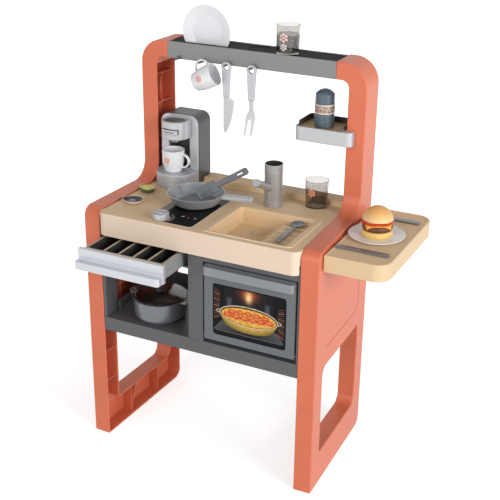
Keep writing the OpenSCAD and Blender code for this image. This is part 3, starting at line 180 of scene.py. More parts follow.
def eased(node, edge, *finishes, steps=2, sharp=28, choose=None):
    """A merged copy of a solid, shown in its place with its sharp edges rounded."""
    source = nodes_of[node].data
    for split in (False, True):
        form = bmesh.new()
        points = [form.verts.new(v.co) for v in source.vertices]
        for p in source.polygons:
            form.faces.new([points[i] for i in p.vertices])
        bmesh.ops.remove_doubles(form, verts=form.verts, dist=4e-6)
        bmesh.ops.dissolve_degenerate(form, edges=form.edges, dist=2e-6)
        bmesh.ops.dissolve_limit(form, angle_limit=math.radians(0.7), verts=form.verts,
                                 edges=form.edges)
        if split:
            bmesh.ops.triangulate(form, faces=[f for f in form.faces if len(f.verts) > 4])
        weigh_edges(form, edge, math.radians(sharp))
        if choose:
            for face in form.faces:
                face.material_index = choose(face.calc_center_median(), face.normal)
        mesh = bpy.data.meshes.new(node + "_finished")
        form.to_mesh(mesh)
        form.free()
        mesh.shade_smooth()
        mesh.set_sharp_from_angle(angle=math.radians(sharp + 4))
        piece = add_piece(node + "_finished", mesh, body_of[node], *finishes)
        round_off = piece.modifiers.new("rounded", "BEVEL")
        round_off.limit_method = "WEIGHT"
        round_off.width = edge
        round_off.segments = steps
        round_off.use_clamp_overlap = False
        round_off.loop_slide = False
        flat_light = piece.modifiers.new("flat_light", "WEIGHTED_NORMAL")
        flat_light.keep_sharp = True
        bpy.context.view_layer.update()
        drawn, outlined = spread(piece.evaluated_get(bpy.context.evaluated_depsgraph_get()).data)
        if split or abs(drawn - outlined) < 0.001 * drawn:
            break
        bpy.data.objects.remove(piece)
        bpy.data.meshes.remove(mesh)
    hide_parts(node)
    return piece


def shaded_by_height(material, low_rgb, low_z, high_z):
    """Fades a finish from another colour at its foot, between two heights in metres."""
    tree = material.node_tree
    where = tree.nodes.new("ShaderNodeTexCoord")
    split = tree.nodes.new("ShaderNodeSeparateXYZ")
    height = tree.nodes.new("ShaderNodeMapRange")
    height.inputs["From Min"].default_value = low_z
    height.inputs["From Max"].default_value = high_z
    fade = tree.nodes.new("ShaderNodeMix")
    fade.data_type = "RGBA"
    fade.inputs[6].default_value = linear(low_rgb)
    ramp = next(n for n in tree.nodes if n.type == "VALTORGB")
    tree.links.new(where.outputs["Object"], split.inputs[0])
    tree.links.new(split.outputs["Z"], height.inputs["Value"])
    tree.links.new(height.outputs["Result"], fade.inputs["Factor"])
    tree.links.new(ramp.outputs["Color"], fade.inputs[7])
    tree.links.new(fade.outputs[2], tree.nodes["Principled BSDF"].inputs["Base Color"])
    return material


coral = finish("coral_polypropylene", (219, 118, 86), 0.38, grain=0.05, cloud=0.03, coat=0.05, shine=0.28)
for node in ("left_frame", "right_frame", "left_upright", "right_upright"):
    eased(node, 0.0022, coral)

# ---------------------------------------------------------------- top bar
# A grey channel between the two arches, with a black tray laid in it for the plate and
# the glasses. The hooks are moulded under its front edge.
bar_grey = finish("bar_grey", (136, 136, 136), 0.38, grain=0.05)
tray_black = finish("tray_black", (14, 14, 15), 0.55, grain=0.06, cloud=0.1, shine=0.05)
hook_grey = finish("hook_grey", (88, 90, 94), 0.35)
eased("top_bar", 0.0015, bar_grey)
eased("bar_tray", 0.001, tray_black)
eased("bar_hooks", 0.001, hook_grey)


def screw_tree():
    """Screw heads with a cross slot, one on each point of a mesh."""
    tree = bpy.data.node_groups.new("screw_heads", "GeometryNodeTree")
    tree.interface.new_socket("Places", in_out="INPUT", socket_type="NodeSocketGeometry")
    tree.interface.new_socket("Heads", in_out="OUTPUT", socket_type="NodeSocketGeometry")
    for label, value in (("Head radius", 0.0035), ("Head height", 0.0024), ("Slot width", 0.001)):
        size = tree.interface.new_socket(label, in_out="INPUT", socket_type="NodeSocketFloat")
        size.default_value = value
    tree.interface.new_socket("Turn", in_out="INPUT", socket_type="NodeSocketVector")
    tree.interface.new_socket("Finish", in_out="INPUT", socket_type="NodeSocketMaterial")
    new, link = tree.nodes.new, tree.links.new
    given, result = new("NodeGroupInput"), new("NodeGroupOutput")
    head = new("GeometryNodeMeshCylinder")
    head.inputs["Vertices"].default_value = 20
    link(given.outputs["Head radius"], head.inputs["Radius"])
    link(given.outputs["Head height"], head.inputs["Depth"])
    cut = new("GeometryNodeMeshBoolean")
    cut.operation = "DIFFERENCE"
    link(head.outputs["Mesh"], cut.inputs["Mesh 1"])
    raised = new("ShaderNodeCombineXYZ")
    link(given.outputs["Head height"], raised.inputs["Z"])
    for turned in (False, True):
        blade = new("ShaderNodeCombineXYZ")
        link(given.outputs["Head radius"], blade.inputs["Y" if turned else "X"])
        link(given.outputs["Slot width"], blade.inputs["X" if turned else "Y"])
        link(given.outputs["Head height"], blade.inputs["Z"])
        slot = new("GeometryNodeMeshCube")
        link(blade.outputs["Vector"], slot.inputs["Size"])
        up = new("GeometryNodeTransform")
        link(slot.outputs["Mesh"], up.inputs["Geometry"])
        half = new("ShaderNodeVectorMath")
        half.operation = "SCALE"
        half.inputs["Scale"].default_value = 0.6
        link(raised.outputs["Vector"], half.inputs[0])
        link(half.outputs["Vector"], up.inputs["Translation"])
        link(up.outputs["Geometry"], cut.inputs["Mesh 2"])
    spread_out = new("GeometryNodeInstanceOnPoints")
    link(given.outputs["Places"], spread_out.inputs["Points"])
    link(cut.outputs["Mesh"], spread_out.inputs["Instance"])
    link(given.outputs["Turn"], spread_out.inputs["Rotation"])
    real = new("GeometryNodeRealizeInstances")
    link(spread_out.outputs["Instances"], real.inputs["Geometry"])
    coated = new("GeometryNodeSetMaterial")
    link(real.outputs["Geometry"], coated.inputs["Geometry"])
    link(given.outputs["Finish"], coated.inputs["Material"])
    link(coated.outputs["Geometry"], result.inputs["Heads"])
    return tree


def grown(name, points, tree, body, **values):
    """A piece that a tree grows on points; values go in by the socket's identifier."""
    seed = bpy.data.meshes.new(name + "_seed")
    seed.from_pydata(points, [], [])
    holder = bpy.data.objects.new(name + "_seed", seed)
    bpy.context.scene.collection.objects.link(holder)
    growth = holder.modifiers.new("growth", "NODES")
    growth.node_group = tree
    for item in tree.interface.items_tree:
        label = item.name.replace(" ", "_").lower()
        if item.item_type == "SOCKET" and item.in_out == "INPUT" and label in values:
            growth[item.identifier] = values[label]
    bpy.context.view_layer.update()
    made = bpy.data.meshes.new_from_object(holder.evaluated_get(bpy.context.evaluated_depsgraph_get()))
    holder.modifiers.remove(growth)
    bpy.data.objects.remove(holder)
    return add_piece(name, made, body)


screw_steel = finish("screw_steel", (150, 152, 155), 0.3, metal=0.9)
bar_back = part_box("top_bar")[1][1]
shelf_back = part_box("cabinet_shelf")[1][1]
casing_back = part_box("coffee_casing")[1][1]
back_screws = ([(x, bar_back, 0.979) for x in (-0.285, -0.075, 0.136)]
               + [(x, shelf_back, 0.329) for x in (-0.31, -0.11, 0.06, 0.165)]
               + [(x, casing_back, z) for x in (-0.318, -0.233) for z in (0.655, 0.775)])
grown("back_screws", back_screws, screw_tree(), "kitchen", finish=screw_steel,
              turn=(-math.pi / 2, 0, 0))

# ---------------------------------------------------------------- worktop
# One sand-coloured moulding: apron, deck, sink basin with its draining board, and the
# raised ledge along the back. The apron's front faces take a paler copy of the same sand, as painted light.
sand = finish("sand_polypropylene", (226, 197, 158), 0.45, grain=0.05, cloud=0.02, shine=0.15)
# A paler copy of the sand for the apron's front faces: painted light on one plastic.
sand_front = finish("sand_front", (234, 212, 190), 0.45, grain=0.05, cloud=0.02, shine=0.15)
eased("worktop", 0.0025, sand, sand_front, steps=3,
              choose=lambda c, n: 1 if n.y < -0.3 and c.y < -0.11 else 0)

# ---------------------------------------------------------------- hob
# A glossy black plate glued into the deck, its knob on a spindle and the sound box below.
hob_black = finish("hob_black", (17, 18, 22), 0.12, grain=0.01, cloud=0.1, shine=0.08)


def silvered(name, rgb, rough=0.34):
    """Silver paint: fine bright specks in a coat that is partly metallic."""
    return finish(name, rgb, rough, grain=0.05, grain_size=0.0004, cloud=0.03, metal=0.35, speck=0.25)


silver = silvered("silver_paint", (184, 186, 189))
dark = finish("dark_polypropylene", (66, 67, 69), 0.42)
strip_grey = finish("strip_grey", (122, 118, 112), 0.4)
print_white = finish("print_white", (196, 198, 200), 0.4, cloud=0.01)
print_red = finish("print_red", (190, 60, 48), 0.4, cloud=0.01)
hob_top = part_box("hob_plate")[1][2]
knob_x, knob_y = -0.1845, -0.0924
eased("hob_plate", 0.0006, hob_black, strip_grey,
              choose=lambda c, n: 1 if n.z > 0.9 and c.z < hob_top - 0.0002 else 0)
eased("hob_knob", 0.0012, silver, steps=3)
eased("sound_box", 0.001, dark)


def flat_print(name, body, z, shapes):
    """Thin raised print: each shape is an outline and the finish of its ink."""
    ink_depth = 0.00015
    form = bmesh.new()
    inks = []
    for outline, ink in shapes:
        if ink not in inks:
            inks.append(ink)
        face = form.faces.new([form.verts.new((x, y, z)) for x, y in outline])
        raised = bmesh.ops.extrude_face_region(form, geom=[face])["geom"]
        for v in raised:
            if isinstance(v, bmesh.types.BMVert):
                v.co.z += ink_depth
        for f in {f for v in raised if isinstance(v, bmesh.types.BMVert) for f in v.link_faces}:
            f.material_index = inks.index(ink)
        face.material_index = inks.index(ink)
    bmesh.ops.recalc_face_normals(form, faces=form.faces)
    mesh = bpy.data.meshes.new(name)
    form.to_mesh(mesh)
    form.free()
    return add_piece(name, mesh, body, *inks)


def band(cx, cy, r0, r1, a0, a1, n=40):
    """The outline of an arc with a width, angles in degrees."""
    turn = [math.radians(a0 + (a1 - a0) * i / n) for i in range(n + 1)]
    return ([(cx + r1 * math.cos(a), cy + r1 * math.sin(a)) for a in turn]
            + [(cx + r0 * math.cos(a), cy + r0 * math.sin(a)) for a in reversed(turn)])


def disc(cx, cy, r, n=20):
    """The outline of a round dot."""
    return [(cx + r * math.cos(i * math.tau / n), cy + r * math.sin(i * math.tau / n)) for i in range(n)]


hob_marks = [(band(knob_x, knob_y, 0.0292, 0.0304, -30, 62), print_white)]
for i in range(7):
    a = math.radians(-26 + 14 * i)
    hob_marks.append((band(knob_x + 0.0338 * math.cos(a), knob_y + 0.0338 * math.sin(a),
                           0, 0.0004 + 0.00014 * i, 0, 330, 12), print_white))
hob_marks += [
    ([(-0.1452, -0.0625), (-0.1418, -0.0650), (-0.1368, -0.0590), (-0.1402, -0.0565)], print_white),
    (band(-0.1260, -0.0628, 0.0020, 0.0036, 20, 340), print_red),
    (disc(-0.1260, -0.0628, 0.0011), print_red),
    (band(-0.1085, -0.0608, 0.0016, 0.0034, -60, 240), print_white),
]
flat_print("hob_print", "kitchen", hob_top, hob_marks)

# A pale band of painted highlight on the deck along the plate's right and front edges, for the
# lit edge of its recess, and two brown rings of painted shade round the outlet in the basin.
lip_sand = finish("lip_sand", (250, 232, 208), 0.45, cloud=0.01)
ring_brown = finish("ring_brown", (182, 138, 100), 0.5, cloud=0.02)
hob_low, hob_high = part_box("hob_plate")
deck_top, basin_floor = hob_low[2], hob_low[2] - 0.040


def hob_edge(out):
    """The plate's right edge, rounded front corner and front edge, moved outwards."""
    corner_r = 0.009
    turn = [math.radians(-90 * i / 12) for i in range(13)]
    return ([(hob_high[0] + out, hob_high[1])]
            + [(hob_high[0] - corner_r + (corner_r + out) * math.cos(a),
                hob_low[1] + corner_r + (corner_r + out) * math.sin(a)) for a in turn]
            + [(knob_x + 0.018, hob_low[1] - out)])


# The pale band is a painted highlight of the recess's lit edge, not a raised lip.
flat_print("hob_lip", "kitchen", deck_top,
                   [(hob_edge(0.0024) + hob_edge(0.0001)[::-1], lip_sand)])
outlet_x, outlet_y = 0.0165, 0.0258
# Brown rings of painted shade round the outlet, where its grooves lie in shade.
rings = [(band(outlet_x, outlet_y, r - 0.0011, r, 0, 354), ring_brown) for r in (0.0205, 0.0135)]
flat_print("outlet_rings", "kitchen", basin_floor,
                   rings + [(disc(outlet_x, outlet_y, 0.0022), ring_brown)])

# ---------------------------------------------------------------- tap
# A silver column in three parts: fixed foot, turning middle with the spout, upper ring.
tap_silver = silvered("tap_silver", (164, 163, 161), 0.32)
for node in ("tap_foot", "tap_spout"):
    eased(node, 0.0012, tap_silver)
# The walls and floor of the upper ring's hollow take a dark painted shade.
tap_hollow = finish("tap_hollow", (58, 57, 56), 0.5, shine=0.2)
tap_x, tap_y = 0.0145, 0.1126
eased("tap_top", 0.0008, tap_silver, tap_hollow,
              choose=lambda c, n: 1 if math.hypot(c.x - tap_x, c.y - tap_y) < 0.0212
              and c.z > 0.7245 and (n.z < 0.9 or c.z < 0.73) else 0)

# ---------------------------------------------------------------- coffee machine
# A dark casing with a silver front frame, a round brewing head and a drip base.
casing_grey = finish("casing_grey", (70, 71, 72), 0.38)
eased("coffee_casing", 0.003, casing_grey, steps=3)
eased("coffee_front", 0.0015, silver)
eased("brew_head", 0.0015, silver)
eased("brew_button", 0.0008, dark)
eased("pod_tray", 0.0006, dark, silver, choose=lambda c, n: 1 if n.y < -0.5 else 0)
eased("drip_base", 0.0015, silver)

# ---------------------------------------------------------------- cabinet
# Dark grey mouldings screwed between the side frames: shelf, divider, stile and rails.
cabinet_grey = finish("cabinet_grey", (86, 86, 89), 0.4, grain=0.06)
for node in ("cabinet_shelf", "centre_divider", "left_stile", "right_panel", "oven_liner",
             "header_rail", "back_rail", "drawer_runners"):
    eased(node, 0.0012, cabinet_grey)

# ---------------------------------------------------------------- drawer
# A bright silver front with a moulded grip on a mid-grey box, with a sand cutlery insert in it
# whose slot floors and right-facing slat sides are darkened with painted shade.
insert_sand = finish("insert_sand", (190, 176, 150), 0.42)
insert_dark = finish("insert_dark", (58, 58, 60), 0.4)
box_grey = finish("box_grey", (148, 149, 151), 0.4)
drawer_silver = silvered("drawer_silver", (203, 206, 211))
eased("drawer_front", 0.0018, drawer_silver, steps=3)
eased("drawer_box", 0.001, box_grey)
slat_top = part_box("cutlery_insert")[1][2] - 0.0035
# Slot floors and slat sides facing right take a painted shade; the other faces keep the sand.
eased("cutlery_insert", 0.0007, insert_sand, insert_dark,
              choose=lambda c, n: 0 if c.z > slat_top or n.x < -0.9 or abs(n.y) > 0.9 else 1)

# ---------------------------------------------------------------- oven door
# A grey door that drops forward on two pins, with a grey lip handle and a printed pane.
door_grey = finish("door_grey", (99, 104, 109), 0.36)
handle_grey = finish("handle_grey", (134, 137, 142), 0.32, metal=0.1)
eased("oven_door", 0.0015, door_grey)
eased("door_handle", 0.0015, handle_grey, steps=3)
eased("door_window", 0.0004, hob_black)

# The printed film on the pane: a lit oven with a baked dish on a rack, drawn by rule on a
# fine grid, one colour a point.
pane_low, pane_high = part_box("door_window")
cell = 0.00125
columns = int((pane_high[0] - pane_low[0]) / cell)
rows = int((pane_high[2] - pane_low[2]) / cell)
across, up = np.meshgrid(np.arange(columns + 1) * cell, np.arange(rows + 1) * cell)
across, up = across * 1000, up * 1000
wide, high = across.max(), up.max()


def soft(edge, blur=0.7):
    """1 inside, 0 outside, over a blur in millimetres; edge is the distance inwards."""
    return np.clip(edge / blur + 0.5, 0, 1)[..., None]


def ellipse(cx, cy, a, b):
    """Roughly the distance in millimetres inside an ellipse."""
    return (1 - np.hypot((across - cx) / a, (up - cy) / b)) * min(a, b)


def ripple(scale, turn=0.0):
    """A smooth uneven pattern from -1 to 1."""
    x, y = across / scale + turn, up / scale - turn
    return (np.sin(x * 1.7 + 2.1 * np.sin(y * 0.9)) + np.sin(y * 2.3 + 1.7 * np.sin(x * 1.3))
            + np.sin((x + y) * 1.1 + 3.0)) / 3


picture = np.zeros(across.shape + (3,)) + np.array((17, 17, 22))


def paint(mask, colour):
    """Lays a colour over the picture, as strongly as the mask says."""
    global picture
    picture = picture + (np.asarray(colour, float) - picture) * mask


paint(soft(np.minimum(np.minimum(across - 30, wide - 30 - across), up - 44), 5) * 0.6, (34, 31, 34))
glow = np.exp(-((across - wide * 0.5) / 24) ** 2 - ((up - high * 0.92) / 17) ** 2)[..., None]
paint(np.clip(glow, 0, 1) * 0.85, (205, 92, 44))
glow = np.exp(-((across - wide * 0.5) / 9) ** 2 - ((up - high * 0.86) / 15) ** 2)[..., None]
paint(np.clip(glow * 1.1, 0, 1), (255, 214, 150))
for x in (44, wide - 46):
    paint(soft(np.minimum(6 - abs(across - x), 15 - abs(up - high * 0.68)), 7) * 0.5, (120, 132, 140))
for i in range(15):
    for near, far in (((3, 44 + 5.6 * i), (19, 50 + 4.6 * i)),
                      ((wide - 3, 26 + 5.6 * i), (wide - 19, 36 + 4.6 * i))):
        along = (across - near[0]) / (far[0] - near[0])
        height = near[1] + (far[1] - near[1]) * along
        mask = soft(0.7 - abs(up - height), 1.0) * soft(np.minimum(along, 1 - along) * 16, 2)
        paint(mask * (0.75 if i % 3 else 0.95), (150, 104, 76) if i % 3 else (214, 140, 92))
for i in range(-17, 18):
    middle = wide * 0.5
    slope = (up - 14) / 26
    x = middle + i * (5.3 - 1.2 * slope)
    mask = soft(0.8 - abs(across - x), 1.0) * soft(np.minimum(up - 12, 40 - up), 4)
    paint(mask * (0.3 + 0.04 * abs(i)), (150, 148, 146))
paint(soft(0.9 - abs(up - 13)) * soft(np.minimum(across - 8, wide - 8 - across)), (96, 94, 94))
dish_x, dish_y, dish_a, dish_b = wide * 0.5, high * 0.48, 76.0, 26.0
for side in (-1, 1):
    paint(soft(ellipse(dish_x + side * dish_a, dish_y + 1, 9, 5)), (190, 184, 172))
    paint(soft(ellipse(dish_x + side * dish_a, dish_y + 1.4, 6, 2.6)), (40, 30, 26))
for i in range(22):
    f = i / 21
    shade = 1 - 0.28 * abs((across - dish_x) / dish_a)[..., None] ** 2 + 0.05 * ripple(5, 2)[..., None]
    glassy = np.array((226, 188, 92)) * (0.62 + 0.38 * f) * shade
    share = 0.86 + 0.14 * f
    paint(soft(ellipse(dish_x, dish_y - 21 * (1 - f), dish_a * share, dish_b * share)), glassy)
paint(soft(ellipse(dish_x, dish_y, dish_a, dish_b)), (232, 224, 204))
paint(soft(ellipse(dish_x, dish_y - 0.4, dish_a - 2, dish_b - 1.6)), (70, 42, 26))
crust = np.array((236, 178, 86)) + 20 * ripple(4)[..., None] - 26 * np.clip(ripple(2.2, 5), 0, 1)[..., None]
paint(soft(ellipse(dish_x, dish_y - 1.6, dish_a - 5, dish_b - 4.4)), crust)
for row, (lift, count, size) in enumerate(((7.6, 5, 10.4), (-6.0, 6, 11.4))):
    for i in range(count):
        x = dish_x + (i - (count - 1) / 2) * 21.5
        y = dish_y + lift - 0.0009 * (x - dish_x) ** 2 * (1 if lift > 0 else -1)
        paint(soft(ellipse(x, y, size, size * 0.56)), (170, 52, 30))
        paint(soft(ellipse(x, y + 0.4, size - 1.6, size * 0.56 - 1.2)),
              np.array((226, 104, 62)) + 16 * ripple(3, i + row)[..., None])
        paint(soft(ellipse(x - 0.6, y + 0.8, size * 0.36, size * 0.17), 1.6) * 0.7, (246, 170, 104))
paint(soft(ripple(3.1, 9) * 3 - 1.9) * soft(ellipse(dish_x, dish_y - 1.6, dish_a - 7, dish_b - 6)) * 0.6,
      (150, 78, 36))
frame_inset = np.minimum(np.minimum(across, wide - across), np.minimum(up, high - up))
paint(soft(2.6 - frame_inset, 1.2), (16, 16, 19))

corner = 8.0
beyond_x = np.maximum(np.maximum(corner - across, across - wide + corner), 0)
beyond_y = np.maximum(np.maximum(corner - up, up - high + corner), 0)
kept = (np.hypot(beyond_x, beyond_y) <= corner).ravel()
numbers = -np.ones(kept.size, int)
numbers[kept] = np.arange(kept.sum())
film_front = pane_low[1] - 0.0002
points = np.stack((pane_low[0] + across / 1000, np.full_like(across, film_front),
                   pane_low[2] + up / 1000), -1).reshape(-1, 3)[kept]
grid = np.arange(kept.size).reshape(across.shape)
quads = np.stack((grid[:-1, :-1], grid[:-1, 1:], grid[1:, 1:], grid[1:, :-1]), -1).reshape(-1, 4)
quads = numbers[quads]
quads = quads[(quads >= 0).all(1)]
film = bpy.data.meshes.new("oven_print")
film.from_pydata(points.tolist(), [], quads.tolist())
ink = film.color_attributes.new("ink", "FLOAT_COLOR", "POINT")
light = np.clip(picture.reshape(-1, 3)[kept] / 255, 0, 1)
light = np.where(light < 0.04045, light / 12.92, ((light + 0.055) / 1.055) ** 2.4)
ink.data.foreach_set("color", np.concatenate((light, np.ones((len(light), 1))), 1).ravel())
oven_print = finish("oven_print", (40, 40, 40), 0.22, grain=0.0, shine=0.1)
tree = oven_print.node_tree
read_ink = tree.nodes.new("ShaderNodeAttribute")
read_ink.attribute_name = "ink"
tree.links.new(read_ink.outputs["Color"], tree.nodes["Principled BSDF"].inputs["Base Color"])
film_piece = add_piece("oven_print", film, "door", oven_print)
backing = film_piece.modifiers.new("backing", "SOLIDIFY")
backing.thickness = 0.00015
backing.offset = -1

# ---------------------------------------------------------------- side tray and corner shelf
# A sand tray on two arms at the right frame, and a small shelf round the right upright.
eased("side_tray", 0.0025, sand, steps=3)
liner_dark = finish("liner_dark", (52, 54, 52), 0.45)
liner_floor = finish("liner_floor", (172, 146, 100), 0.5, cloud=0.05)
eased("corner_shelf", 0.0015, silver)
eased("corner_liner", 0.0008, liner_dark, liner_floor,
              choose=lambda c, n: 1 if n.z > 0.9 and c.z < 0.842 else 0)

# ---------------------------------------------------------------- crockery
# White plates and mugs, and smoked clear tumblers, darker in their lower part.
china = finish("white_polypropylene", (234, 235, 238), 0.22, grain=0.02, cloud=0.01, coat=0.2)


def smoked(name, rgb):
    """Clear plastic with a tint."""
    material = finish(name, rgb, 0.05, grain=0.01, cloud=0.02, clear=1.0)
    material.node_tree.nodes["Principled BSDF"].inputs["IOR"].default_value = 1.35
    return material


for node in ("wall_plate", "tray_plate", "coffee_mug", "hanging_mug"):
    eased(node, 0.0008, china)
for node, low_rgb in (("bar_tumbler", (162, 160, 157)), ("deck_tumbler", (206, 200, 194))):
    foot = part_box(node)[0][2]
    tinted = smoked("tint_" + node, (216, 214, 211))
    shaded_by_height(tinted, low_rgb, foot + 0.046, foot + 0.048)
    eased(node, 0.0006, tinted)


def rosette(reach, dots=6):
    """Round dots in a ring about one in the middle: centres and radii."""
    ring = [(reach * math.sin(i * math.tau / dots), reach * math.cos(i * math.tau / dots), reach * 0.46)
            for i in range(dots)]
    return ring + [(0, 0, reach * 0.42)]


def laid_print(name, node, marks):
    """Ink discs laid on a curved wall: each mark is a place, the way it faces, a size and a finish."""
    wall = BVHTree.FromPolygons([v.co for v in nodes_of[node].data.vertices],
                                [p.vertices for p in nodes_of[node].data.polygons])
    form = bmesh.new()
    inks = []
    for place, facing, reach, ink in marks:
        if ink not in inks:
            inks.append(ink)
        facing = Vector(facing).normalized()
        side = facing.cross(Vector((0, 0, 1))).normalized()
        rise = side.cross(facing)
        for cx, cy, r in rosette(reach):
            rings = []
            for part in (0.0, 0.5, 1.0):
                ring = []
                for i in range(16 if part else 1):
                    a = i * math.tau / 16
                    flat = side * (cx + r * part * math.cos(a)) + rise * (cy + r * part * math.sin(a))
                    start = Vector(place) + flat + facing * 0.01
                    hit, normal, _, _ = wall.ray_cast(start, -facing)
                    if normal.dot(facing) < 0:
                        normal = -normal
                    ring.append(form.verts.new(hit + normal * 0.00012))
                rings.append(ring)
            faces = [form.faces.new((rings[0][0], rings[1][i], rings[1][i - 15])) for i in range(16)]
            faces += [form.faces.new((rings[1][i], rings[2][i], rings[2][i - 15], rings[1][i - 15]))
                      for i in range(16)]
            for f in faces:
                f.material_index = inks.index(ink)
                f.normal_update()
                if f.normal.dot(facing) < 0:
                    f.normal_flip()
    mesh = bpy.data.meshes.new(name)
    form.to_mesh(mesh)
    form.free()
    mesh.shade_smooth()
    piece = add_piece(name, mesh, body_of[node], *inks)
    back = piece.modifiers.new("back", "SOLIDIFY")
    back.thickness = 0.00008
    back.offset = -1


coral_ink = finish("coral_ink", (233, 152, 130), 0.35, cloud=0.01)
pale_ink = finish("pale_ink", (236, 196, 190), 0.35, cloud=0.01)
white_ink = finish("white_ink", (222, 216, 208), 0.35, cloud=0.01)
laid_print("coffee_mug_print", "coffee_mug",
           [((-0.2825, 0.1054, 0.7034), (-0.147, -0.989, -0.032), 0.0058, coral_ink)])
laid_print("hanging_mug_print", "hanging_mug",
           [((-0.1827, 0.0933, 0.9293), (-0.193, -0.978, 0.082), 0.0058, coral_ink)])
laid_print("bar_tumbler_print", "bar_tumbler",
           [((0.0130, 0.1515, 1.0385), (0.049, -0.996, -0.036), 0.0078, pale_ink),
            ((0.0129, 0.1525, 1.0165), (0.049, -0.996, -0.036), 0.0060, white_ink)])
laid_print("deck_tumbler_print", "deck_tumbler",
           [((0.1035, 0.1390, 0.6720), (-0.049, -0.996, -0.036), 0.0070, coral_ink)])

# ---------------------------------------------------------------- carving knife and fork
# Silver handles with a hanging hole; the blade and the prongs are pale grey.
blade_grey = finish("blade_grey", (206, 208, 210), 0.3, grain=0.02)
eased("knife_handle", 0.002, silver, steps=3)
eased("knife_blade", 0.0006, blade_grey)
eased("carving_fork", 0.0012, silver, blade_grey,
              choose=lambda c, n: 1 if c.z < 0.8805 else 0)

# ---------------------------------------------------------------- pan, pot and tools
# Mid-grey toy cookware; the pan is lighter outside, and its rim and handle are silver.
pan_grey = finish("pan_grey", (116, 119, 123), 0.26, grain=0.04, metal=0.3, coat=0.2)
pan_inside = finish("pan_inside", (138, 141, 146), 0.26, grain=0.04, metal=0.3, coat=0.2)
pan_pale = finish("pan_pale", (148, 149, 151), 0.3, grain=0.04, metal=0.2)
pan_x, pan_y = -0.1575, 0.0336
pan_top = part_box("frying_pan")[1][2]


def pan_side(c, n):
    """0 inside the pan, 1 outside it, 2 on its rim and handle."""
    x, y = c.x - pan_x, c.y - pan_y
    if math.hypot(x, y) > 0.0735 or (n.z > 0.5 and c.z > pan_top - 0.002):
        return 2
    return 1 if x * n.x + y * n.y > 0.004 or n.z < -0.9 else 0


eased("frying_pan", 0.0015, pan_inside, pan_pale, silver, steps=3, choose=pan_side)
eased("turner", 0.0008, pan_grey)
eased("pot", 0.0015, pan_grey, steps=3)
lid_clear = smoked("smoked_clear", (216, 214, 212))
lid_knob = finish("lid_knob", (64, 64, 66), 0.4)
pot_x, pot_y = -0.2195, -0.0444
eased("pot_lid", 0.0008, lid_clear, lid_knob,
              choose=lambda c, n: 1 if c.z > 0.4168 and math.hypot(c.x - pot_x, c.y - pot_y) < 0.013
              else 0)
eased("spoon", 0.0005, pan_grey)
for node in ("table_knife", "table_fork"):
    eased(node, 0.0006, pan_grey)

# ---------------------------------------------------------------- mill
# A blue-grey pepper mill in two turned parts, with a printed paper band and a small button
# on its cap.
mill_grey = finish("mill_grey", (84, 98, 108), 0.34)
band_ink = finish("band_ink", (206, 190, 176), 0.55, cloud=0.0)
band_edge = finish("band_edge", (226, 220, 212), 0.5, cloud=0.01)
for node in ("mill_body", "mill_cap"):
    eased(node, 0.001, mill_grey)


def turned(name, body, centre, profile, count, *finishes):
    """A shape turned on a lathe; each profile point is a radius, a height and a finish number."""
    form = bmesh.new()
    rings = []
    for r, z, _ in profile:
        if r == 0:
            rings.append([form.verts.new((centre[0], centre[1], z))])
        else:
            rings.append([form.verts.new((centre[0] + r * math.cos(i * math.tau / count),
                                          centre[1] + r * math.sin(i * math.tau / count), z))
                          for i in range(count)])
    for (low, high_ring), (_, _, which) in zip(zip(rings, rings[1:]), profile):
        for i in range(count):
            j = (i + 1) % count
            corners = []
            for v in (low[i % len(low)], low[j % len(low)], high_ring[j % len(high_ring)],
                      high_ring[i % len(high_ring)]):
                if v not in corners:
                    corners.append(v)
            form.faces.new(corners).material_index = which
    bmesh.ops.recalc_face_normals(form, faces=form.faces)
    mesh = bpy.data.meshes.new(name)
    form.to_mesh(mesh)
    form.free()
    mesh.shade_smooth()
    mesh.set_sharp_from_angle(angle=math.radians(35))
    return add_piece(name, mesh, body, *finishes)


mill = (0.1175, 0.1686)
mill_r = 0.0235
seam, cap_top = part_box("mill_cap")[0][2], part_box("mill_cap")[1][2]
band_low, band_high = seam - 0.0232, seam - 0.0007
turned("mill_band", "mill", mill, [
    (mill_r - 0.0004, band_low, 0), (mill_r + 0.0003, band_low, 0),
    (mill_r + 0.0003, band_low + 0.0026, 1), (mill_r + 0.0003, band_high - 0.0026, 0),
    (mill_r + 0.0003, band_high, 0), (mill_r - 0.0004, band_high, 0),
    (mill_r - 0.0004, band_low, 0)], 64, band_edge, band_ink)
turned("mill_button", "mill_top", mill, [
    (0, cap_top, 0), (0.0058, cap_top, 0), (0.0058, cap_top + 0.0007, 0),
    (0.0048, cap_top + 0.0013, 0), (0.0034, cap_top + 0.0011, 0), (0, cap_top + 0.0004, 0)],
    32, mill_grey)

# Peppercorns on the band: dark round patches from a cell pattern.
tree = band_ink.node_tree
where = tree.nodes.new("ShaderNodeTexCoord")
cells = tree.nodes.new("ShaderNodeTexVoronoi")
cells.inputs["Scale"].default_value = 260
corns = tree.nodes.new("ShaderNodeValToRGB")
for at, rgb in ((0.0, (70, 46, 40)), (0.28, (96, 66, 56)), (0.42, (132, 104, 90)), (0.5, (190, 168, 152))):
    stop = corns.color_ramp.elements.new(at)
    stop.color = linear(rgb)
corns.color_ramp.elements.remove(corns.color_ramp.elements[0])
corns.color_ramp.elements.remove(corns.color_ramp.elements[-1])
tree.links.new(where.outputs["Object"], cells.inputs["Vector"])
tree.links.new(cells.outputs["Distance"], corns.inputs["Fac"])
tree.links.new(corns.outputs["Color"], tree.nodes["Principled BSDF"].inputs["Base Color"])

# ---------------------------------------------------------------- burger
# Stacked toy food: a bun in two halves, a rough patty, a thin slice of cheese whose corners
# hang down, and two slices of tomato. The filling is glued together.
burger_x, burger_y = 0.3035, 0.0596
bun_floor, patty_floor, bun_seat = (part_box(n)[0][2] for n in ("bun_base", "burger_filling", "bun_top"))


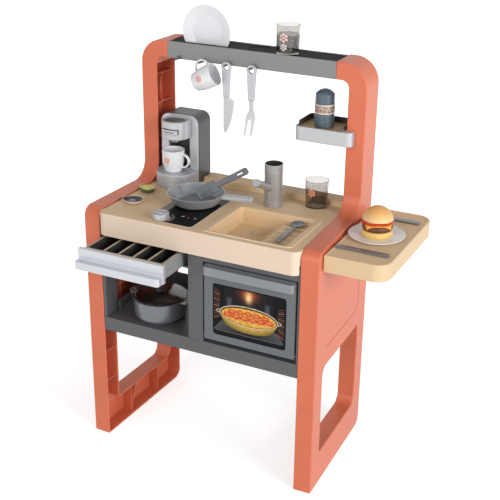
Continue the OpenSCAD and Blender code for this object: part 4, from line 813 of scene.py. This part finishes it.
def baked(name, low_rgb, high_rgb, low_z, high_z, rough=0.5):
    """Bread that is paler at its cut edge than at its baked side."""
    material = finish(name, high_rgb, rough, grain=0.25, grain_size=0.0012, cloud=0.06, cloud_size=0.012)
    return shaded_by_height(material, low_rgb, low_z, high_z)


eased("bun_base", 0.003, baked("bun_below", (236, 198, 124), (240, 196, 116), bun_floor,
                                       patty_floor), steps=3)
eased("bun_top", 0.002, baked("bun_above", (242, 206, 148), (234, 176, 104), bun_seat,
                                      bun_seat + 0.022))
patty_brown = finish("patty_brown", (104, 58, 30), 0.55, grain=0.5, grain_size=0.0016, cloud=0.35,
                     cloud_size=0.006)
cheese_yellow = finish("cheese_yellow", (246, 176, 66), 0.42, cloud=0.03)
tomato_skin = finish("tomato_skin", (198, 44, 34), 0.3, cloud=0.05)
tomato_flesh = finish("tomato_flesh", (214, 84, 66), 0.35, cloud=0.08, cloud_size=0.006)


def puck(name, centre, r, low_z, high_z, rough, finishes, edge=0.3, count=72):
    """A thick slice with a round edge, uneven by rough metres."""
    steps = 10
    half = (high_z - low_z) / 2
    bulge = half * edge * 2
    profile = [(0.0, low_z), (r * 0.55, low_z)]
    for k in range(steps + 1):
        a = -math.pi / 2 + math.pi * k / steps
        profile.append((r - bulge + bulge * math.cos(a), low_z + half + half * math.sin(a)))
    profile += [(r * 0.55, high_z), (0.0, high_z)]
    has_top = len(finishes) > 1
    marked = [(a, z, int(has_top and a < r * 0.9 and z > low_z + half)) for a, z in profile]
    piece = turned(name, "burger", centre, marked, count, *finishes)
    for v in piece.data.vertices:
        away = Vector((v.co.x - centre[0], v.co.y - centre[1], 0))
        if rough and away.length > r * 0.5:
            v.co += away.normalized() * rough * (noise.noise(v.co * 260) + 0.6 * noise.noise(v.co * 620))
    return piece


cheese_floor = patty_floor + 0.0138
tomato_floor = cheese_floor + 0.0016
patty_piece = puck("patty", (burger_x, burger_y), 0.0352, patty_floor, cheese_floor, 0.0011,
                   (patty_brown,), edge=0.35, count=120)
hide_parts("burger_filling")
sideways = Vector((view_right.x, view_right.y)).normalized()
for name, shift, r, gap in (("tomato_left", -0.0125, 0.0255, 0.0), ("tomato_right", 0.0135, 0.0238, 0.0002)):
    place = (burger_x + sideways.x * shift, burger_y + sideways.y * shift)
    slice_piece = puck(name, place, r, tomato_floor + gap, bun_seat - 0.0004 - gap, 0.0003,
                       (tomato_skin, tomato_flesh))

cheese = bpy.data.meshes.new("cheese")
form = bmesh.new()
cheese_n, cheese_half = 28, 0.0305
turn = math.atan2(sideways.y, sideways.x)
sheet = [[None] * (cheese_n + 1) for _ in range(cheese_n + 1)]
for i in range(cheese_n + 1):
    for j in range(cheese_n + 1):
        a, b = (2 * i / cheese_n - 1) * cheese_half, (2 * j / cheese_n - 1) * cheese_half
        r = math.hypot(a, b)
        hang = max(0, r - 0.0335)
        pull = 1 - 0.35 * hang / max(r, 0.001)
        x, y = a * pull, b * pull
        sheet[i][j] = form.verts.new((burger_x + x * math.cos(turn) - y * math.sin(turn),
                                      burger_y + x * math.sin(turn) + y * math.cos(turn),
                                      cheese_floor + 0.0014 - hang * 0.85))
for i in range(cheese_n):
    for j in range(cheese_n):
        form.faces.new((sheet[i][j], sheet[i + 1][j], sheet[i + 1][j + 1], sheet[i][j + 1]))
form.to_mesh(cheese)
form.free()
cheese.shade_smooth()
cheese_piece = add_piece("cheese", cheese, "burger", cheese_yellow)
slice_depth = cheese_piece.modifiers.new("slice", "SOLIDIFY")
slice_depth.thickness = 0.0013
slice_depth.offset = -1

# ---------------------------------------------------------------- mussel and avocado
# Two open half shells, pointed at one end: a mussel, dark inside with a pale rim, and half
# an avocado with its yellow stone.


def half_shell(node, rings, *finishes):
    """Rings from the foot over the rim to the middle: a share of the size, a height, a finish."""
    low_corner, high_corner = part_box(node)
    cx, cy = (low_corner[0] + high_corner[0]) / 2, (low_corner[1] + high_corner[1]) / 2
    a, b = (high_corner[0] - low_corner[0]) / 2, (high_corner[1] - low_corner[1]) / 2
    count = 64
    form = bmesh.new()
    loops = []
    for share, z, _ in rings:
        loop = []
        for i in range(count):
            t = i * math.tau / count
            x = math.cos(t)
            y = math.sin(t) * (1 - 0.42 * (1 - x) ** 1.6 / 2 ** 1.6)
            loop.append(form.verts.new((cx + x * a * share, cy + y * b * share, low_corner[2] + z)))
        loops.append(loop)
    for k, (lower, upper) in enumerate(zip(loops, loops[1:])):
        for i in range(count):
            j = (i + 1) % count
            form.faces.new((lower[i], lower[j], upper[j], upper[i])).material_index = rings[k][2]
    form.faces.new(list(reversed(loops[0]))).material_index = rings[0][2]
    form.faces.new(loops[-1]).material_index = rings[-1][2]
    bmesh.ops.recalc_face_normals(form, faces=form.faces)
    mesh = bpy.data.meshes.new(node + "_shell")
    form.to_mesh(mesh)
    form.free()
    mesh.shade_smooth()
    mesh.set_sharp_from_angle(angle=math.radians(50))
    piece = add_piece(node + "_shell", mesh, body_of[node], *finishes)
    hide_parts(node)
    return piece


shell_pale = finish("shell_pale", (206, 194, 188), 0.35, cloud=0.06, cloud_size=0.01)
shell_dark = finish("shell_dark", (52, 44, 48), 0.3, cloud=0.2, cloud_size=0.01)
mussel_grey = finish("mussel_grey", (132, 126, 128), 0.35, cloud=0.1, cloud_size=0.006)
half_shell("mussel_shell", [
    (0.30, 0.0, 0), (0.52, 0.0006, 0), (0.78, 0.0032, 0), (0.93, 0.0068, 0), (0.99, 0.0098, 0),
    (1.0, 0.0108, 0), (0.97, 0.0112, 0), (0.93, 0.0106, 1), (0.86, 0.0078, 1), (0.70, 0.0052, 1),
    (0.50, 0.0042, 1), (0.40, 0.0050, 2), (0.34, 0.0074, 2), (0.24, 0.0088, 2), (0.10, 0.0092, 2)],
    shell_pale, shell_dark, mussel_grey)
avocado_skin = finish("avocado_skin", (82, 92, 50), 0.45, grain=0.4, grain_size=0.0015, cloud=0.15,
                      cloud_size=0.006)
avocado_flesh = finish("avocado_flesh", (196, 196, 120), 0.4, cloud=0.06, cloud_size=0.01)
avocado_stone = finish("avocado_stone", (226, 206, 112), 0.35, cloud=0.05, cloud_size=0.008)
half_shell("avocado_half", [
    (0.34, 0.0, 0), (0.60, 0.0008, 0), (0.82, 0.0040, 0), (0.95, 0.0080, 0), (1.0, 0.0112, 0),
    (0.985, 0.0122, 0), (0.94, 0.0120, 1), (0.84, 0.0106, 1), (0.66, 0.0092, 1), (0.52, 0.0088, 1),
    (0.47, 0.0098, 2), (0.40, 0.0112, 2), (0.26, 0.0122, 2), (0.10, 0.0126, 2)],
    avocado_skin, avocado_flesh, avocado_stone)

# ---------------------------------------------------------------- floor and light
# A pale floor that the camera sees as white, a large soft lamp in front and a stronger one
# at the right; the sky lights the rest, more from below than from above.
scene = bpy.context.scene
scene.view_settings.view_transform = "Standard"


def seen_by_eye(tree):
    """1 on rays that reach the camera straight, by reflection or through clear plastic."""
    path = tree.nodes.new("ShaderNodeLightPath")
    so_far = path.outputs["Is Camera Ray"]
    for kind in ("Is Glossy Ray", "Is Transmission Ray"):
        either = tree.nodes.new("ShaderNodeMath")
        either.operation = "MAXIMUM"
        tree.links.new(so_far, either.inputs[0])
        tree.links.new(path.outputs[kind], either.inputs[1])
        so_far = either.outputs[0]
    return so_far


floor_mesh = bpy.data.meshes.new("floor")
floor_mesh.from_pydata([(-40, -40, 0), (40, -40, 0), (40, 40, 0), (-40, 40, 0)], [], [(0, 1, 2, 3)])
floor_mat = bpy.data.materials.new("floor")
floor_mat.use_nodes = True
tree = floor_mat.node_tree
shader = tree.nodes["Principled BSDF"]
shader.inputs["Base Color"].default_value = (0.8, 0.8, 0.8, 1)
shader.inputs["Roughness"].default_value = 0.9
shader.inputs["Specular IOR Level"].default_value = 0.1
where = tree.nodes.new("ShaderNodeTexCoord")
away = tree.nodes.new("ShaderNodeVectorMath")
away.operation = "LENGTH"
bright = tree.nodes.new("ShaderNodeMapRange")
for label, value in (("From Min", 0.5), ("From Max", 2.6), ("To Min", 0.62), ("To Max", 1.0)):
    bright.inputs[label].default_value = value
tree.links.new(where.outputs["Object"], away.inputs[0])
tree.links.new(away.outputs["Value"], bright.inputs["Value"])
scale = tree.nodes.new("ShaderNodeMath")
scale.operation = "MULTIPLY"
tree.links.new(bright.outputs["Result"], scale.inputs[1])
tree.links.new(seen_by_eye(tree), scale.inputs[0])
shader.inputs["Emission Color"].default_value = (1, 1, 1, 1)
tree.links.new(scale.outputs[0], shader.inputs["Emission Strength"])
floor_mesh.materials.append(floor_mat)
floor = bpy.data.objects.new("floor", floor_mesh)
scene.collection.objects.link(floor)

world = bpy.data.worlds.new("sky")
scene.world = world
world.use_nodes = True
tree = world.node_tree
sky = tree.nodes["Background"]
level = tree.nodes.new("ShaderNodeMapRange")
level.inputs["To Max"].default_value = 1.0
where = tree.nodes.new("ShaderNodeTexCoord")
split = tree.nodes.new("ShaderNodeSeparateXYZ")
height = tree.nodes.new("ShaderNodeMapRange")
height.inputs["To Min"].default_value = 0.55
height.inputs["To Max"].default_value = 0.22
tree.links.new(where.outputs["Generated"], split.inputs[0])
tree.links.new(split.outputs["Z"], height.inputs["Value"])
tree.links.new(height.outputs["Result"], level.inputs["To Min"])
tree.links.new(seen_by_eye(tree), level.inputs["Value"])
tree.links.new(level.outputs["Result"], sky.inputs["Strength"])
sky.inputs["Color"].default_value = (1, 1, 1, 1)


def lamp(name, at, size, power):
    """A square soft lamp that looks at the middle of the kitchen."""
    light = bpy.data.lights.new(name, "AREA")
    light.shape = "SQUARE"
    light.size = size
    light.energy = power
    thing = bpy.data.objects.new(name, light)
    aim = (Vector((0, 0, 0.6)) - Vector(at)).to_track_quat("-Z", "Y")
    thing.matrix_world = Matrix.Translation(at) @ aim.to_matrix().to_4x4()
    scene.collection.objects.link(thing)


lamp("key", (-0.6, -4.2, 2.0), 2.4, 68)
lamp("side", (4.2, -1.4, 1.8), 2.2, 132)
